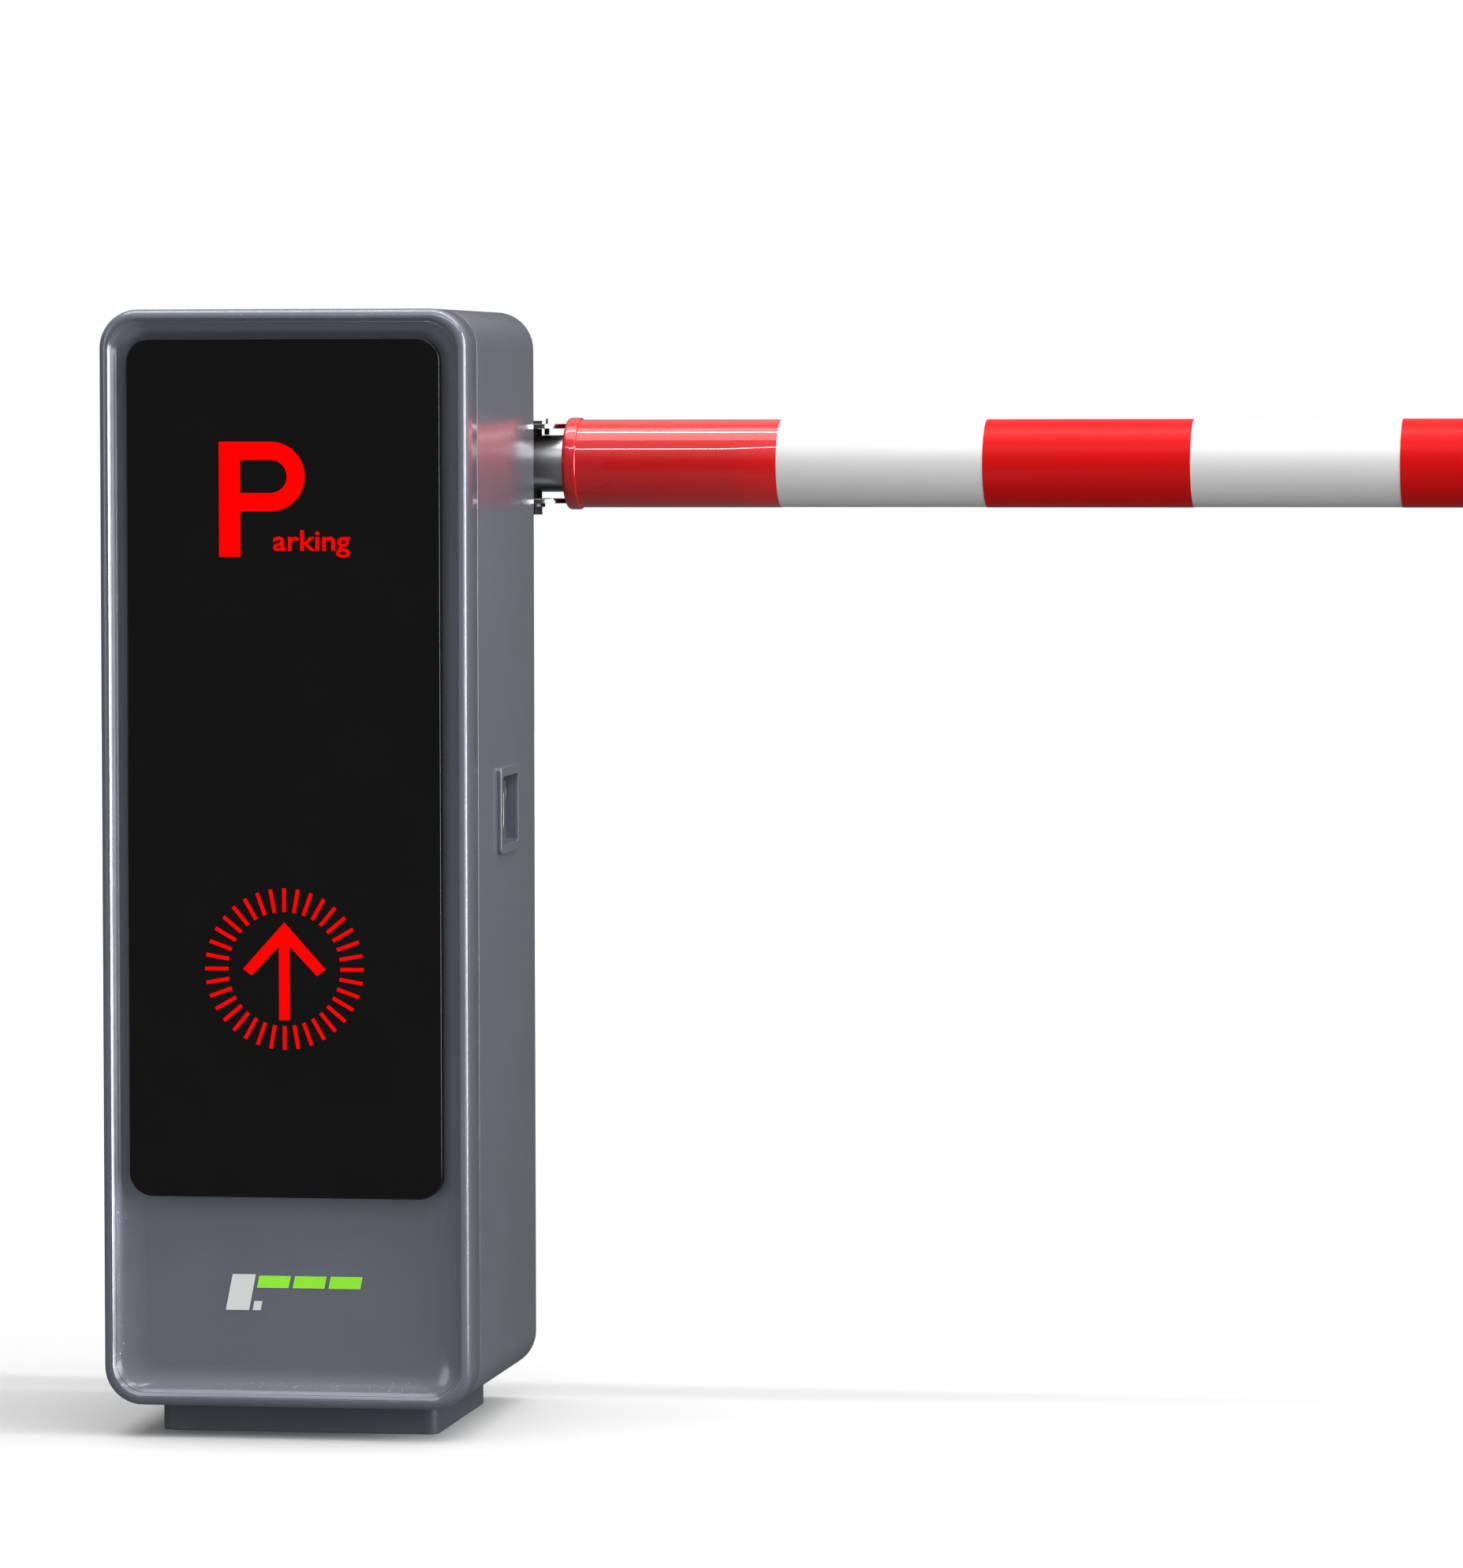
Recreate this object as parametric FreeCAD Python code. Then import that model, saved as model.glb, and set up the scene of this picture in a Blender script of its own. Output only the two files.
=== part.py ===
"""Parking barrier gate: a floor-standing sheet-steel cabinet whose whole front is a hinged door with a
lit display, a spring-balanced lifting mechanism inside, and a striped round boom carried behind the
cabinet on a fork with a swing-away pivot.

Frame: millimetres, +Z up, origin on the floor at the centre of the four anchor holes, +X along the
lowered boom, -Y towards the door with the display. The model is drawn with the boom lowered.
"""

import math
import os

import FreeCAD, Part
from FreeCAD import Vector

# ---------------------------------------------------------------- driving dimensions
cabinet_width = 348.0
cabinet_depth = 343.0
cabinet_height = 1020.0
base_height = 30.0
front_overhang = 58.0      # door face to the front of the base
rear_overhang = 45.0
side_overhang = 42.0
corner_radius = 36.0       # top and bottom corners, seen from the front
shell_wall = 2.5
shell_rear_radius = 2.2
shell_front_radius = 0.8

door_depth = 50.0
door_gap = 1.5
door_wall = 3.0
door_edge_radius = 8.0
rim_width = 9.0
cove_width = 29.0
cove_depth = 14.0
rim_corner = 29.0
floor_corner = 21.0
glass_margin = 26.0        # cabinet side to the glass
glass_top_margin = 27.0
glass_height = 797.0
glass_corner = 22.0
glass_thickness = 4.0
glass_skirt = 3.0
glass_drop = 0.5           # rim's face to the glass's face
glass_edge_radius = 0.9
glass_fit = 0.3
legend_thickness = 0.4

base_wall = 6.0
base_corner = 12.0
base_plate_thickness = 10.0
anchor_spacing_x = 190.0
anchor_spacing_y = 170.0
anchor_hole_radius = 7.0
cable_opening_x = 120.0
cable_opening_y = 90.0
floor_thickness = 6.0

chassis_plate = 5.0
chassis_half_width = 110.0
chassis_bay = 115.0        # clear space between the two chassis plates
chassis_rear_gap = 7.5
chassis_top_gap = 47.0

shaft_drop = 146.0         # cabinet top to the main shaft's axis
shaft_radius = 20.0
bearing_radius = 31.0
bearing_width = 10.0
housing_radius = 46.0
housing_width = 14.0
lever_arm = 80.0
spring_arm = 85.0
lever_thickness = 12.0
lever_half_width = 15.0
hub_radius = 34.0
switch_spread = 20.0       # each limit switch from the shaft's level, degrees
switch_bracket = 2.5
lever_plane = 54.0         # front chassis plate's back face to the lever's mid plane
link_length = 304.0
link_thickness = 10.0
pin_radius = 8.0
pin_clearance = 0.15
running_clearance = 0.05
output_radius = 12.5

spring_outer = 17.0
spring_inner = 13.5
spring_offset = 24.0       # lever's mid plane to each spring's axis
spring_wire = 2.5
eye_radius = 10.0
eyebolt_radius = 9.0
eyebolt_wire = 3.0
spring_pin_radius = 6.0
anchor_bar_height = 240.0
anchor_bar_thickness = 12.0

gearbox_left = 70.0
gearbox_right = 45.0
gearbox_depth = 92.0
gearbox_half_height = 65.0
worm_offset = 42.0
motor_radius = 45.0
motor_length = 160.0

boom_standoff = 65.0       # cabinet's back face to the boom's axis
boom_radius = 42.5
boom_wall = 1.5
film = 0.3
collar_lip = 2.0           # collar proud of the boom
collar_length = 13.5
collar_face_radius = 4.0
collar_step_radius = 1.6
collar_reach = 22.5        # cabinet's side to the collar's face
band_length = 200.0
band_count = 15
first_band_start = 9.5     # from the collar's face
root_radius = 27.5
root_wall = 3.0
root_insert = 205.0
fork_half_gap = 34.0
fork_plate = 4.5
fork_clearance = 1.0
pivot_offset = 36.5        # pivot's axis to the collar's face
pivot_radius = 6.0
root_tail = 30.0

latch_width = 95.0
latch_height = 82.0
latch_proud = 4.0
latch_front = 146.0        # door face to the latch frame's front edge
latch_centre_z = 579.0
latch_rim = 9.0
latch_recess = 14.0
latch_travel = 15.0
key_radius = 9.0

controller_height = 305.4  # floor to the foot of the controller's case

hinge_inset = 7.0          # hinge axis from the cabinet's left face
hinge_setback = 24.0       # hinge axis behind the seam
hinge_strap = 4.0
hinge_pin_radius = 2.5
hinge_width = 40.0

# ---------------------------------------------------------------- places worked out from them
front_y = -(cabinet_depth - rear_overhang + front_overhang) / 2.0
rear_y = front_y + cabinet_depth
half_width = cabinet_width / 2.0
body_bottom = base_height
body_top = base_height + cabinet_height
body_centre_z = (body_bottom + body_top) / 2.0
seam_y = front_y + door_depth
shell_front = seam_y + door_gap
base_half_x = half_width - side_overhang
base_front = front_y + front_overhang
base_back = rear_y - rear_overhang

chassis_back = rear_y - chassis_rear_gap
rear_plate_front = chassis_back - chassis_plate
front_plate_back = rear_plate_front - chassis_bay
front_plate_front = front_plate_back - chassis_plate
floor_bottom = body_bottom + shell_wall
floor_top = floor_bottom + floor_thickness
chassis_top = body_top - chassis_top_gap
shaft_z = body_top - shaft_drop
lever_y = front_plate_back + lever_plane
lever_half = lever_thickness / 2.0
crank_z = shaft_z - link_length
diagonal = math.sqrt(0.5)
drive_pin_x = lever_arm * diagonal
drive_pin_dz = -lever_arm * diagonal
spring_x = -spring_arm * diagonal
spring_top_z = shaft_z + spring_arm * diagonal
link_gap = 4.0
link_back = lever_y - lever_half - link_gap
link_front = link_back - link_thickness

boom_y = rear_y + boom_standoff
collar_x = half_width + collar_reach
pivot_x = collar_x - pivot_offset
boom_start = collar_x + 4.0
band_start = collar_x + first_band_start
boom_end = band_start + band_count * band_length
fork_end_radius = pivot_offset - fork_clearance

latch_y = front_y + latch_front + latch_width / 2.0
hinge_x = -half_width + hinge_inset
hinge_y = seam_y + hinge_setback
hinge_heights = [body_bottom + 150.0, body_centre_z, body_top - 150.0]
neck_x = hinge_x + hinge_setback

OUT = "parts"


# ---------------------------------------------------------------- shape helpers
def box(x0, x1, y0, y1, z0, z1):
    return Part.makeBox(x1 - x0, y1 - y0, z1 - z0, Vector(x0, y0, z0))


def rod_y(x, z, radius, y0, y1):
    return Part.makeCylinder(radius, y1 - y0, Vector(x, y0, z), Vector(0, 1, 0))


def rod_z(x, y, radius, z0, z1):
    return Part.makeCylinder(radius, z1 - z0, Vector(x, y, z0), Vector(0, 0, 1))


def rod_x(y, z, radius, x0, x1):
    return Part.makeCylinder(radius, x1 - x0, Vector(x0, y, z), Vector(1, 0, 0))


def rounded_wire(half_a, half_b, radius, place):
    """Rounded rectangle as a wire. place(a, b) puts a point of the flat outline in space."""
    a, b, r = half_a, half_b, radius
    s = r * (1.0 - math.sqrt(0.5))
    ends = [(a - r, -b), (a, -b + r), (a, b - r), (a - r, b), (-a + r, b), (-a, b - r), (-a, -b + r), (-a + r, -b)]
    mids = [(a - s, -b + s), (a - s, b - s), (-a + s, b - s), (-a + s, -b + s)]
    edges = []
    for k in range(4):
        start, end = ends[2 * k], ends[2 * k + 1]
        edges.append(Part.Arc(place(*start), place(*mids[k]), place(*end)).toShape())
        after = ends[(2 * k + 2) % 8]
        edges.append(Part.LineSegment(place(*end), place(*after)).toShape())
    return Part.Wire(edges)


def front_outline(half_a, half_b, radius, y, centre_z, centre_x=0.0):
    return rounded_wire(half_a, half_b, radius, lambda a, b: Vector(centre_x + a, y, centre_z + b))


def front_prism(half_a, half_b, radius, y0, y1, centre_z, centre_x=0.0):
    """Rounded rectangle seen from the front, drawn out along Y."""
    wire = front_outline(half_a, half_b, radius, y0, centre_z, centre_x)
    return Part.Face(wire).extrude(Vector(0, y1 - y0, 0))


def floor_prism(half_a, half_b, radius, z0, z1, centre_y):
    """Rounded rectangle seen from above, drawn out along Z."""
    wire = rounded_wire(half_a, half_b, radius, lambda a, b: Vector(a, centre_y + b, z0))
    return Part.Face(wire).extrude(Vector(0, 0, z1 - z0))


def side_prism(half_a, half_b, radius, x0, x1, centre_y, centre_z):
    """Rounded rectangle seen from the side, drawn out along X."""
    wire = rounded_wire(half_a, half_b, radius, lambda a, b: Vector(x0, centre_y + a, centre_z + b))
    return Part.Face(wire).extrude(Vector(x1 - x0, 0, 0))


def hexagon(centre, direction, across_flats, height):
    """Hexagonal nut or head, drawn out along direction from centre."""
    axis = Vector(*direction)
    side = Vector(0, 0, 1) if abs(axis.z) < 0.5 else Vector(1, 0, 0)
    other = axis.cross(side)
    radius = across_flats / math.sqrt(3.0)
    corners = []
    for k in range(7):
        angle = math.radians(60.0 * k)
        corners.append(centre + side * (radius * math.cos(angle)) + other * (radius * math.sin(angle)))
    return Part.Face(Part.makePolygon(corners)).extrude(axis * height)


def bolt(head_seat, direction, radius, length, head_height=None):
    """Hexagon-head bolt as one solid. direction points from the head along the shank."""
    axis = Vector(*direction)
    height = head_height or radius * 1.3
    head = hexagon(head_seat - axis * height, direction, radius * 3.4, height)
    return head.fuse(Part.makeCylinder(radius, length, head_seat, axis)).removeSplitter()


def fuse(shapes):
    result = shapes[0]
    for shape in shapes[1:]:
        result = result.fuse(shape)
    return result.removeSplitter()


def cut(shape, tools):
    for tool in tools:
        shape = shape.cut(tool)
    return shape


def export(name, shape):
    """Writes one node. A list becomes a group of separate solids."""
    if isinstance(shape, list):
        shape = Part.makeCompound(shape)
    if not shape.isValid():
        raise ValueError(name + " is not a valid shape")
    shape.exportStep(os.path.join(OUT, name + ".step"))


# ---------------------------------------------------------------- base
def anchor_places():
    return [(sx * anchor_spacing_x / 2.0, sy * anchor_spacing_y / 2.0) for sx in (-1, 1) for sy in (-1, 1)]


base_centre_y = (base_front + base_back) / 2.0
base_half_y = (base_back - base_front) / 2.0
flange_width = 26.0
flange_thickness = 4.0
floor_bolt_radius = 5.0
floor_bolt_reach = 58.0
floor_bolt_fit = 0.2
access_radius = 19.0


def floor_bolt_places():
    inset = base_wall + 12.0
    return [(sx * (base_half_x - inset), base_centre_y + sy * floor_bolt_reach) for sx in (-1, 1) for sy in (-1, 1)]


def floor_openings(z0, z1):
    """Cutters for the cable opening, the four spanner holes over the anchors and the four floor bolts."""
    opening = floor_prism(cable_opening_x / 2.0, cable_opening_y / 2.0, 10.0, z0, z1, base_centre_y)
    access = [rod_z(x, y, access_radius, z0, z1) for x, y in anchor_places()]
    bolts = [rod_z(x, y, floor_bolt_radius + floor_bolt_fit, z0, z1) for x, y in floor_bolt_places()]
    return [opening] + access + bolts


def base_parts():
    outer = floor_prism(base_half_x, base_half_y, base_corner, 0.0, body_bottom, base_centre_y)
    edges = [e for e in outer.Edges if abs(e.BoundBox.ZMax) < 0.01]
    outer = outer.makeFillet(1.5, edges)
    inner = floor_prism(base_half_x - base_wall, base_half_y - base_wall, base_corner - base_wall,
                        -1.0, body_bottom - flange_thickness, base_centre_y)
    mouth = floor_prism(base_half_x - base_wall - flange_width, base_half_y - base_wall - flange_width, 8.0,
                        -1.0, body_bottom + 1.0, base_centre_y)
    export("plinth", cut(outer, [inner, mouth] + floor_openings(0.0, body_bottom + 1.0)[-4:]))

    plate = floor_prism(base_half_x - base_wall, base_half_y - base_wall, base_corner - base_wall,
                        0.0, base_plate_thickness, base_centre_y)
    opening = floor_prism(cable_opening_x / 2.0, cable_opening_y / 2.0, 10.0, -1.0,
                          base_plate_thickness + 1.0, base_centre_y)
    anchors = [rod_z(x, y, anchor_hole_radius, -1.0, base_plate_thickness + 1.0) for x, y in anchor_places()]
    export("base_plate", cut(plate, [opening] + anchors))

    floor_half_x = half_width - shell_wall - 12.0
    floor_front = shell_front + 18.0
    floor_centre = (floor_front + chassis_back) / 2.0
    floor = floor_prism(floor_half_x - corner_radius * 0.6, (chassis_back - floor_front) / 2.0, 6.0,
                        floor_bottom, floor_top, floor_centre)
    export("chassis_floor", cut(floor, floor_openings(floor_bottom - 1.0, floor_top + 1.0)))
    grip = floor_top - body_bottom + flange_thickness
    return [bolt(Vector(x, y, floor_top), (0, 0, -1), floor_bolt_radius, grip) for x, y in floor_bolt_places()]


# ---------------------------------------------------------------- cabinet
def cabinet_parts():
    outer = front_prism(half_width, cabinet_height / 2.0, corner_radius, shell_front, rear_y, body_centre_z)
    rear_edges = [e for e in outer.Edges if e.BoundBox.YMin > rear_y - 0.01]
    outer = outer.makeFillet(shell_rear_radius, rear_edges)
    front_edges = [e for e in outer.Edges if e.BoundBox.YMax < shell_front + 0.01]
    outer = outer.makeFillet(shell_front_radius, front_edges)
    inner = front_prism(half_width - shell_wall, cabinet_height / 2.0 - shell_wall, corner_radius - shell_wall,
                        shell_front - 1.0, rear_y - shell_wall, body_centre_z)
    shell = outer.cut(inner)
    shaft_hole = rod_y(0.0, shaft_z, shaft_radius + 8.0, rear_y - shell_wall - 1.0, rear_y + 1.0)
    openings = floor_openings(body_bottom - 1.0, floor_bottom + 1.0)
    export("cabinet_shell", cut(shell, [latch_cutout(), shaft_hole] + openings))

    ring = rod_y(0.0, shaft_z, shaft_radius + 20.0, rear_y, rear_y + 5.0)
    edges = [e for e in ring.Edges if abs(e.BoundBox.YMin - (rear_y + 5.0)) < 0.01]
    ring = ring.makeFillet(2.0, edges)
    export("shaft_cover_ring", ring.cut(rod_y(0.0, shaft_z, shaft_radius + 1.5, rear_y - 1.0, rear_y + 6.0)))


# ---------------------------------------------------------------- side latch
latch_half_y = latch_width / 2.0
latch_half_z = latch_height / 2.0
tray_wall = 2.0
tray_half_y = latch_half_y - latch_rim
tray_half_z = latch_half_z - latch_rim
tray_floor_x = half_width + latch_proud - latch_recess
paddle_axis_y = latch_y - tray_half_y + 7.0
paddle_axis_x = half_width - 4.0
key_y = latch_y + tray_half_y - 17.0
key_z = latch_centre_z + 14.0
key_crank = latch_travel / math.sqrt(2.0)
key_pin_radius = 2.5
key_spindle = 3.5
latch_bar_y = shell_front + 14.0
latch_bar_x = half_width - shell_wall - 8.0
hook_heights = [latch_centre_z - 230.0, latch_centre_z + 230.0]
arm_x1 = tray_floor_x - tray_wall - 1.5
arm_x0 = arm_x1 - 4.0


def latch_cutout():
    return side_prism(tray_half_y + tray_wall + 0.3, tray_half_z + tray_wall + 0.3, 5.0,
                      half_width - shell_wall - 2.0, half_width + 1.0, latch_y, latch_centre_z)


def latch_parts():
    """A raised frame with a recessed cup; in the cup a paddle on a vertical pin and a key cylinder. Inside,
    a long vertical bar slides in two guides and holds the door's hooks."""
    frame = side_prism(latch_half_y, latch_half_z, 5.0, half_width, half_width + latch_proud, latch_y, latch_centre_z)
    edges = [e for e in frame.Edges if e.BoundBox.XMin > half_width + latch_proud - 0.01]
    frame = frame.makeFillet(1.2, edges)
    window = side_prism(tray_half_y, tray_half_z, 3.0, half_width - 1.0, half_width + latch_proud + 1.0,
                        latch_y, latch_centre_z)
    export("latch_frame", frame.cut(window))

    tray = side_prism(tray_half_y + tray_wall, tray_half_z + tray_wall, 4.5, tray_floor_x - tray_wall, half_width,
                      latch_y, latch_centre_z)
    hollow = side_prism(tray_half_y, tray_half_z, 3.0, tray_floor_x, half_width + 1.0, latch_y, latch_centre_z)
    key_hole = rod_x(key_y, key_z, key_radius + running_clearance, tray_floor_x - tray_wall - 1.0, half_width)
    pin_seats = rod_z(paddle_axis_x, paddle_axis_y, 2.0 + running_clearance,
                      latch_centre_z - tray_half_z - tray_wall - 1.0, latch_centre_z + tray_half_z + tray_wall + 1.0)
    export("latch_tray", cut(tray, [hollow, key_hole, pin_seats.common(tray)]))

    half_z = tray_half_z - 5.0
    grip_y = paddle_axis_y + 30.0
    paddle = fuse([
        box(paddle_axis_x - 2.0, paddle_axis_x + 2.5, paddle_axis_y, grip_y, latch_centre_z - half_z,
            latch_centre_z + half_z),
        rod_z(paddle_axis_x, paddle_axis_y, 4.0, latch_centre_z - half_z, latch_centre_z + half_z),
        rod_z(paddle_axis_x, paddle_axis_y, 2.0, latch_centre_z - tray_half_z - 1.5,
              latch_centre_z + tray_half_z + 1.5),
        rod_z(paddle_axis_x, grip_y, 3.2, latch_centre_z - half_z, latch_centre_z + half_z),
    ])
    window = side_prism(8.0, half_z - 9.0, 3.0, paddle_axis_x - 5.0, paddle_axis_x + 5.0, paddle_axis_y + 16.0,
                        latch_centre_z)
    export("latch_paddle", paddle.cut(window))

    cam_x = arm_x0 - 6.0
    pin_y, pin_z = key_y - key_crank * diagonal, key_z + key_crank * diagonal
    plug = fuse([
        rod_x(key_y, key_z, key_radius, tray_floor_x - tray_wall, tray_floor_x + 5.0),
        rod_x(key_y, key_z, key_radius + 2.0, tray_floor_x + 0.3, tray_floor_x + 5.0),
        rod_x(key_y, key_z, key_spindle, cam_x, tray_floor_x),
        rod_x(key_y, key_z, key_crank + key_pin_radius + 2.0, cam_x, cam_x + 4.0),
        rod_x(pin_y, pin_z, key_pin_radius, cam_x, arm_x1),
    ])
    slot = box(tray_floor_x + 1.0, tray_floor_x + 6.0, key_y - 1.2, key_y + 1.2, key_z - 5.0, key_z + 5.0)
    export("key_cylinder", plug.cut(slot))

    bar_half = 270.0
    bar = box(latch_bar_x, latch_bar_x + 4.0, latch_bar_y - 9.0, latch_bar_y + 9.0,
              latch_centre_z - bar_half, latch_centre_z + bar_half)
    rollers = [rod_x(latch_bar_y - 3.0, z + latch_travel + 4.0, 4.0, latch_bar_x - 9.0, latch_bar_x)
               for z in hook_heights]
    tine = key_pin_radius + 0.5
    arm = box(arm_x0, arm_x1, latch_bar_y - 9.0, key_y - key_spindle - 0.5, pin_z - tine - 4.0, pin_z + tine + 4.0)
    slit = box(arm_x0 - 1.0, arm_x1 + 1.0, key_y - key_crank - tine, key_y, pin_z - tine, pin_z + tine)
    joggle = box(arm_x0, latch_bar_x + 4.0, latch_bar_y - 9.0, latch_bar_y + 9.0, pin_z - 8.0, pin_z + 8.0)
    export("latch_bar", [bar, joggle.cut(bar).fuse(arm.cut(slit)).removeSplitter()] + rollers)

    guides = []
    for dz in (-120.0, 120.0):
        block = box(latch_bar_x - 3.5, half_width - shell_wall, latch_bar_y - 14.0, latch_bar_y + 14.0,
                    latch_centre_z + dz - 12.0, latch_centre_z + dz + 12.0)
        way = box(latch_bar_x - 0.3, latch_bar_x + 4.3, latch_bar_y - 9.3, latch_bar_y + 9.3,
                  latch_centre_z + dz - 13.0, latch_centre_z + dz + 13.0)
        guides.append(block.cut(way))
    export("latch_guides", guides)

    hooks = []
    for z in hook_heights:
        tongue_x0, tongue_x1 = latch_bar_x - 8.5, latch_bar_x - 4.0
        root = box(tongue_x0, half_width - door_wall, seam_y - 22.0, seam_y - 16.0, z - 12.0, z + 12.0)
        tongue = box(tongue_x0, tongue_x1, seam_y - 17.0, latch_bar_y - 10.0, z - 12.0, z + 12.0)
        beak = box(tongue_x0, tongue_x1, latch_bar_y - 10.0, latch_bar_y + 8.0, z - 12.0, z - 4.0)
        toe = box(tongue_x0, tongue_x1, latch_bar_y + 4.0, latch_bar_y + 8.0, z - 12.0, z + 8.0)
        hooks.append(fuse([root, tongue, beak, toe]))
    export("door_hooks", hooks)


# ---------------------------------------------------------------- door
tray_y = front_y + cove_depth
glass_half_x = half_width - glass_margin
glass_top = body_top - glass_top_margin
glass_bottom = glass_top - glass_height
glass_centre_z = (glass_top + glass_bottom) / 2.0
glass_front = front_y + glass_drop


def door_tray(grow=0.0, deeper=0.0):
    """The dished recess in the door's face as a solid, from in front of the rim to the tray's floor. The
    cove is an arc that starts steep at the rim and runs out flat into the floor. grow widens it all round."""
    rings = 5
    swing = math.radians(52.0)
    sections = [(rim_width - 1.5, -6.0, rim_corner)]
    for k in range(rings + 1):
        angle = swing * (1.0 - k / rings)
        inward = rim_width + cove_width * (1.0 - math.sin(angle) / math.sin(swing))
        depth = cove_depth * (1.0 - (1.0 - math.cos(angle)) / (1.0 - math.cos(swing)))
        corner = rim_corner + (floor_corner - rim_corner) * k / rings
        sections.append((inward, depth, corner))
    wires = []
    for inward, depth, corner in sections:
        wires.append(front_outline(half_width - inward + grow, cabinet_height / 2.0 - inward + grow,
                                   corner + grow, front_y + depth + deeper, body_centre_z))
    return Part.makeLoft(wires, True, True)


def door_parts():
    outer = front_prism(half_width, cabinet_height / 2.0, corner_radius, front_y, seam_y, body_centre_z)
    edges = [e for e in outer.Edges if e.BoundBox.YMax < front_y + 0.01]
    outer = outer.makeFillet(door_edge_radius, edges)
    cavity = front_prism(half_width - door_wall, cabinet_height / 2.0 - door_wall, corner_radius - door_wall,
                         front_y + door_wall + 2.0, seam_y + 1.0, body_centre_z)
    cavity = cavity.cut(door_tray(grow=door_wall, deeper=door_wall))
    window_half_x = glass_half_x - 12.0
    window_half_z = glass_height / 2.0 - 12.0
    window = front_prism(window_half_x, window_half_z, 12.0, front_y - 1.0, tray_y + door_wall + 1.0, glass_centre_z)
    seat = front_prism(glass_half_x + glass_fit, glass_height / 2.0 + glass_fit, glass_corner + glass_fit,
                       glass_front - 1.0, tray_y, glass_centre_z)
    frame = cut(outer, [door_tray(), cavity, window, seat])
    export("door_frame", frame)

    glass = front_prism(glass_half_x, glass_height / 2.0, glass_corner, glass_front, tray_y, glass_centre_z)
    edges = [e for e in glass.Edges if e.BoundBox.YMax < glass_front + 0.01]
    glass = glass.makeFillet(glass_edge_radius, edges)
    behind = front_prism(glass_half_x - glass_skirt, glass_height / 2.0 - glass_skirt, glass_corner - glass_skirt,
                         glass_front + glass_thickness, tray_y + 1.0, glass_centre_z)
    export("display_glass", glass.cut(behind))

    back = seam_y - 3.0
    carrier = front_prism(window_half_x - 1.0, window_half_z - 1.0, 11.0, tray_y, back - 2.0, glass_centre_z)
    hollow = front_prism(window_half_x - 4.0, window_half_z - 4.0, 8.0, tray_y + 6.0, back - 1.0, glass_centre_z)
    export("light_carrier", carrier.cut(hollow))
    cover = front_prism(half_width - door_wall - 0.5, cabinet_height / 2.0 - door_wall - 0.5,
                        corner_radius - door_wall - 0.5, back - 2.0, back, body_centre_z)
    reliefs = []
    for z in hinge_heights:
        reliefs.append(box(-half_width, neck_x + hinge_strap + 2.0, back - 3.0, back + 1.0,
                           z - hinge_width / 2.0 - 2.0, z + hinge_width / 2.0 + 2.0))
    for z in hook_heights:
        reliefs.append(box(half_width - 34.0, half_width, back - 3.0, back + 1.0, z - 14.0, z + 14.0))
    export("door_back_cover", cut(cover, reliefs))


def legend_parts():
    """What lights up on the glass: a letter P, an upright arrow and a ring of short rays."""
    legend_front = glass_front - legend_thickness
    p_left, p_width, p_height = -59.8, 81.0, 106.5
    p_top = glass_top - 95.5
    stem, bar, bowl_height = 20.0, 16.9, 64.3
    bowl = bowl_height / 2.0
    bowl_x = p_left + p_width - bowl
    bowl_z = p_top - bowl
    solid = fuse([
        box(p_left, p_left + stem, legend_front, glass_front, p_top - p_height, p_top),
        box(p_left, bowl_x, legend_front, glass_front, p_top - bowl_height, p_top),
        rod_y(bowl_x, bowl_z, bowl, legend_front, glass_front),
    ])
    eye = bowl - bar
    counter = fuse([
        box(p_left + stem, bowl_x, legend_front - 1.0, glass_front + 1.0, bowl_z - eye, bowl_z + eye),
        rod_y(bowl_x, bowl_z, eye, legend_front - 1.0, glass_front + 1.0),
    ])
    export("parking_symbol", solid.cut(counter))

    ring_x, ring_z = 0.0, glass_bottom + 213.0
    ray_in, ray_out, ray_width, ray_count = 53.0, 75.0, 3.4, 36
    ray = box(-ray_width / 2.0, ray_width / 2.0, legend_front, glass_front, ray_in, ray_out)
    rays = []
    for k in range(ray_count):
        one = ray.copy()
        one.rotate(Vector(0, 0, 0), Vector(0, 1, 0), 360.0 / ray_count * k)
        one.translate(Vector(ring_x, 0, ring_z))
        rays.append(one)
    tip, foot, stroke = 43.4, 47.4, 10.2
    arm_x, arm_z = 35.0, -3.2
    length = math.hypot(arm_x, tip - arm_z)
    across_x = stroke / 2.0 * (tip - arm_z) / length
    across_z = stroke / 2.0 * arm_x / length
    shapes = [box(-stroke / 2.0, stroke / 2.0, legend_front, glass_front, -foot, tip - stroke)]
    for side in (-1.0, 1.0):
        top = Vector(0.0, legend_front, tip)
        corners = [top, Vector(side * (arm_x + across_x), legend_front, arm_z + across_z),
                   Vector(side * (arm_x - across_x), legend_front, arm_z - across_z),
                   Vector(0.0, legend_front, tip - stroke * length / arm_x), top]
        shapes.append(Part.Face(Part.makePolygon(corners)).extrude(Vector(0, legend_thickness, 0)))
    arrow = fuse(shapes)
    arrow.translate(Vector(ring_x, 0, ring_z))
    export("arrow_symbol", [arrow] + rays)


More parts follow.
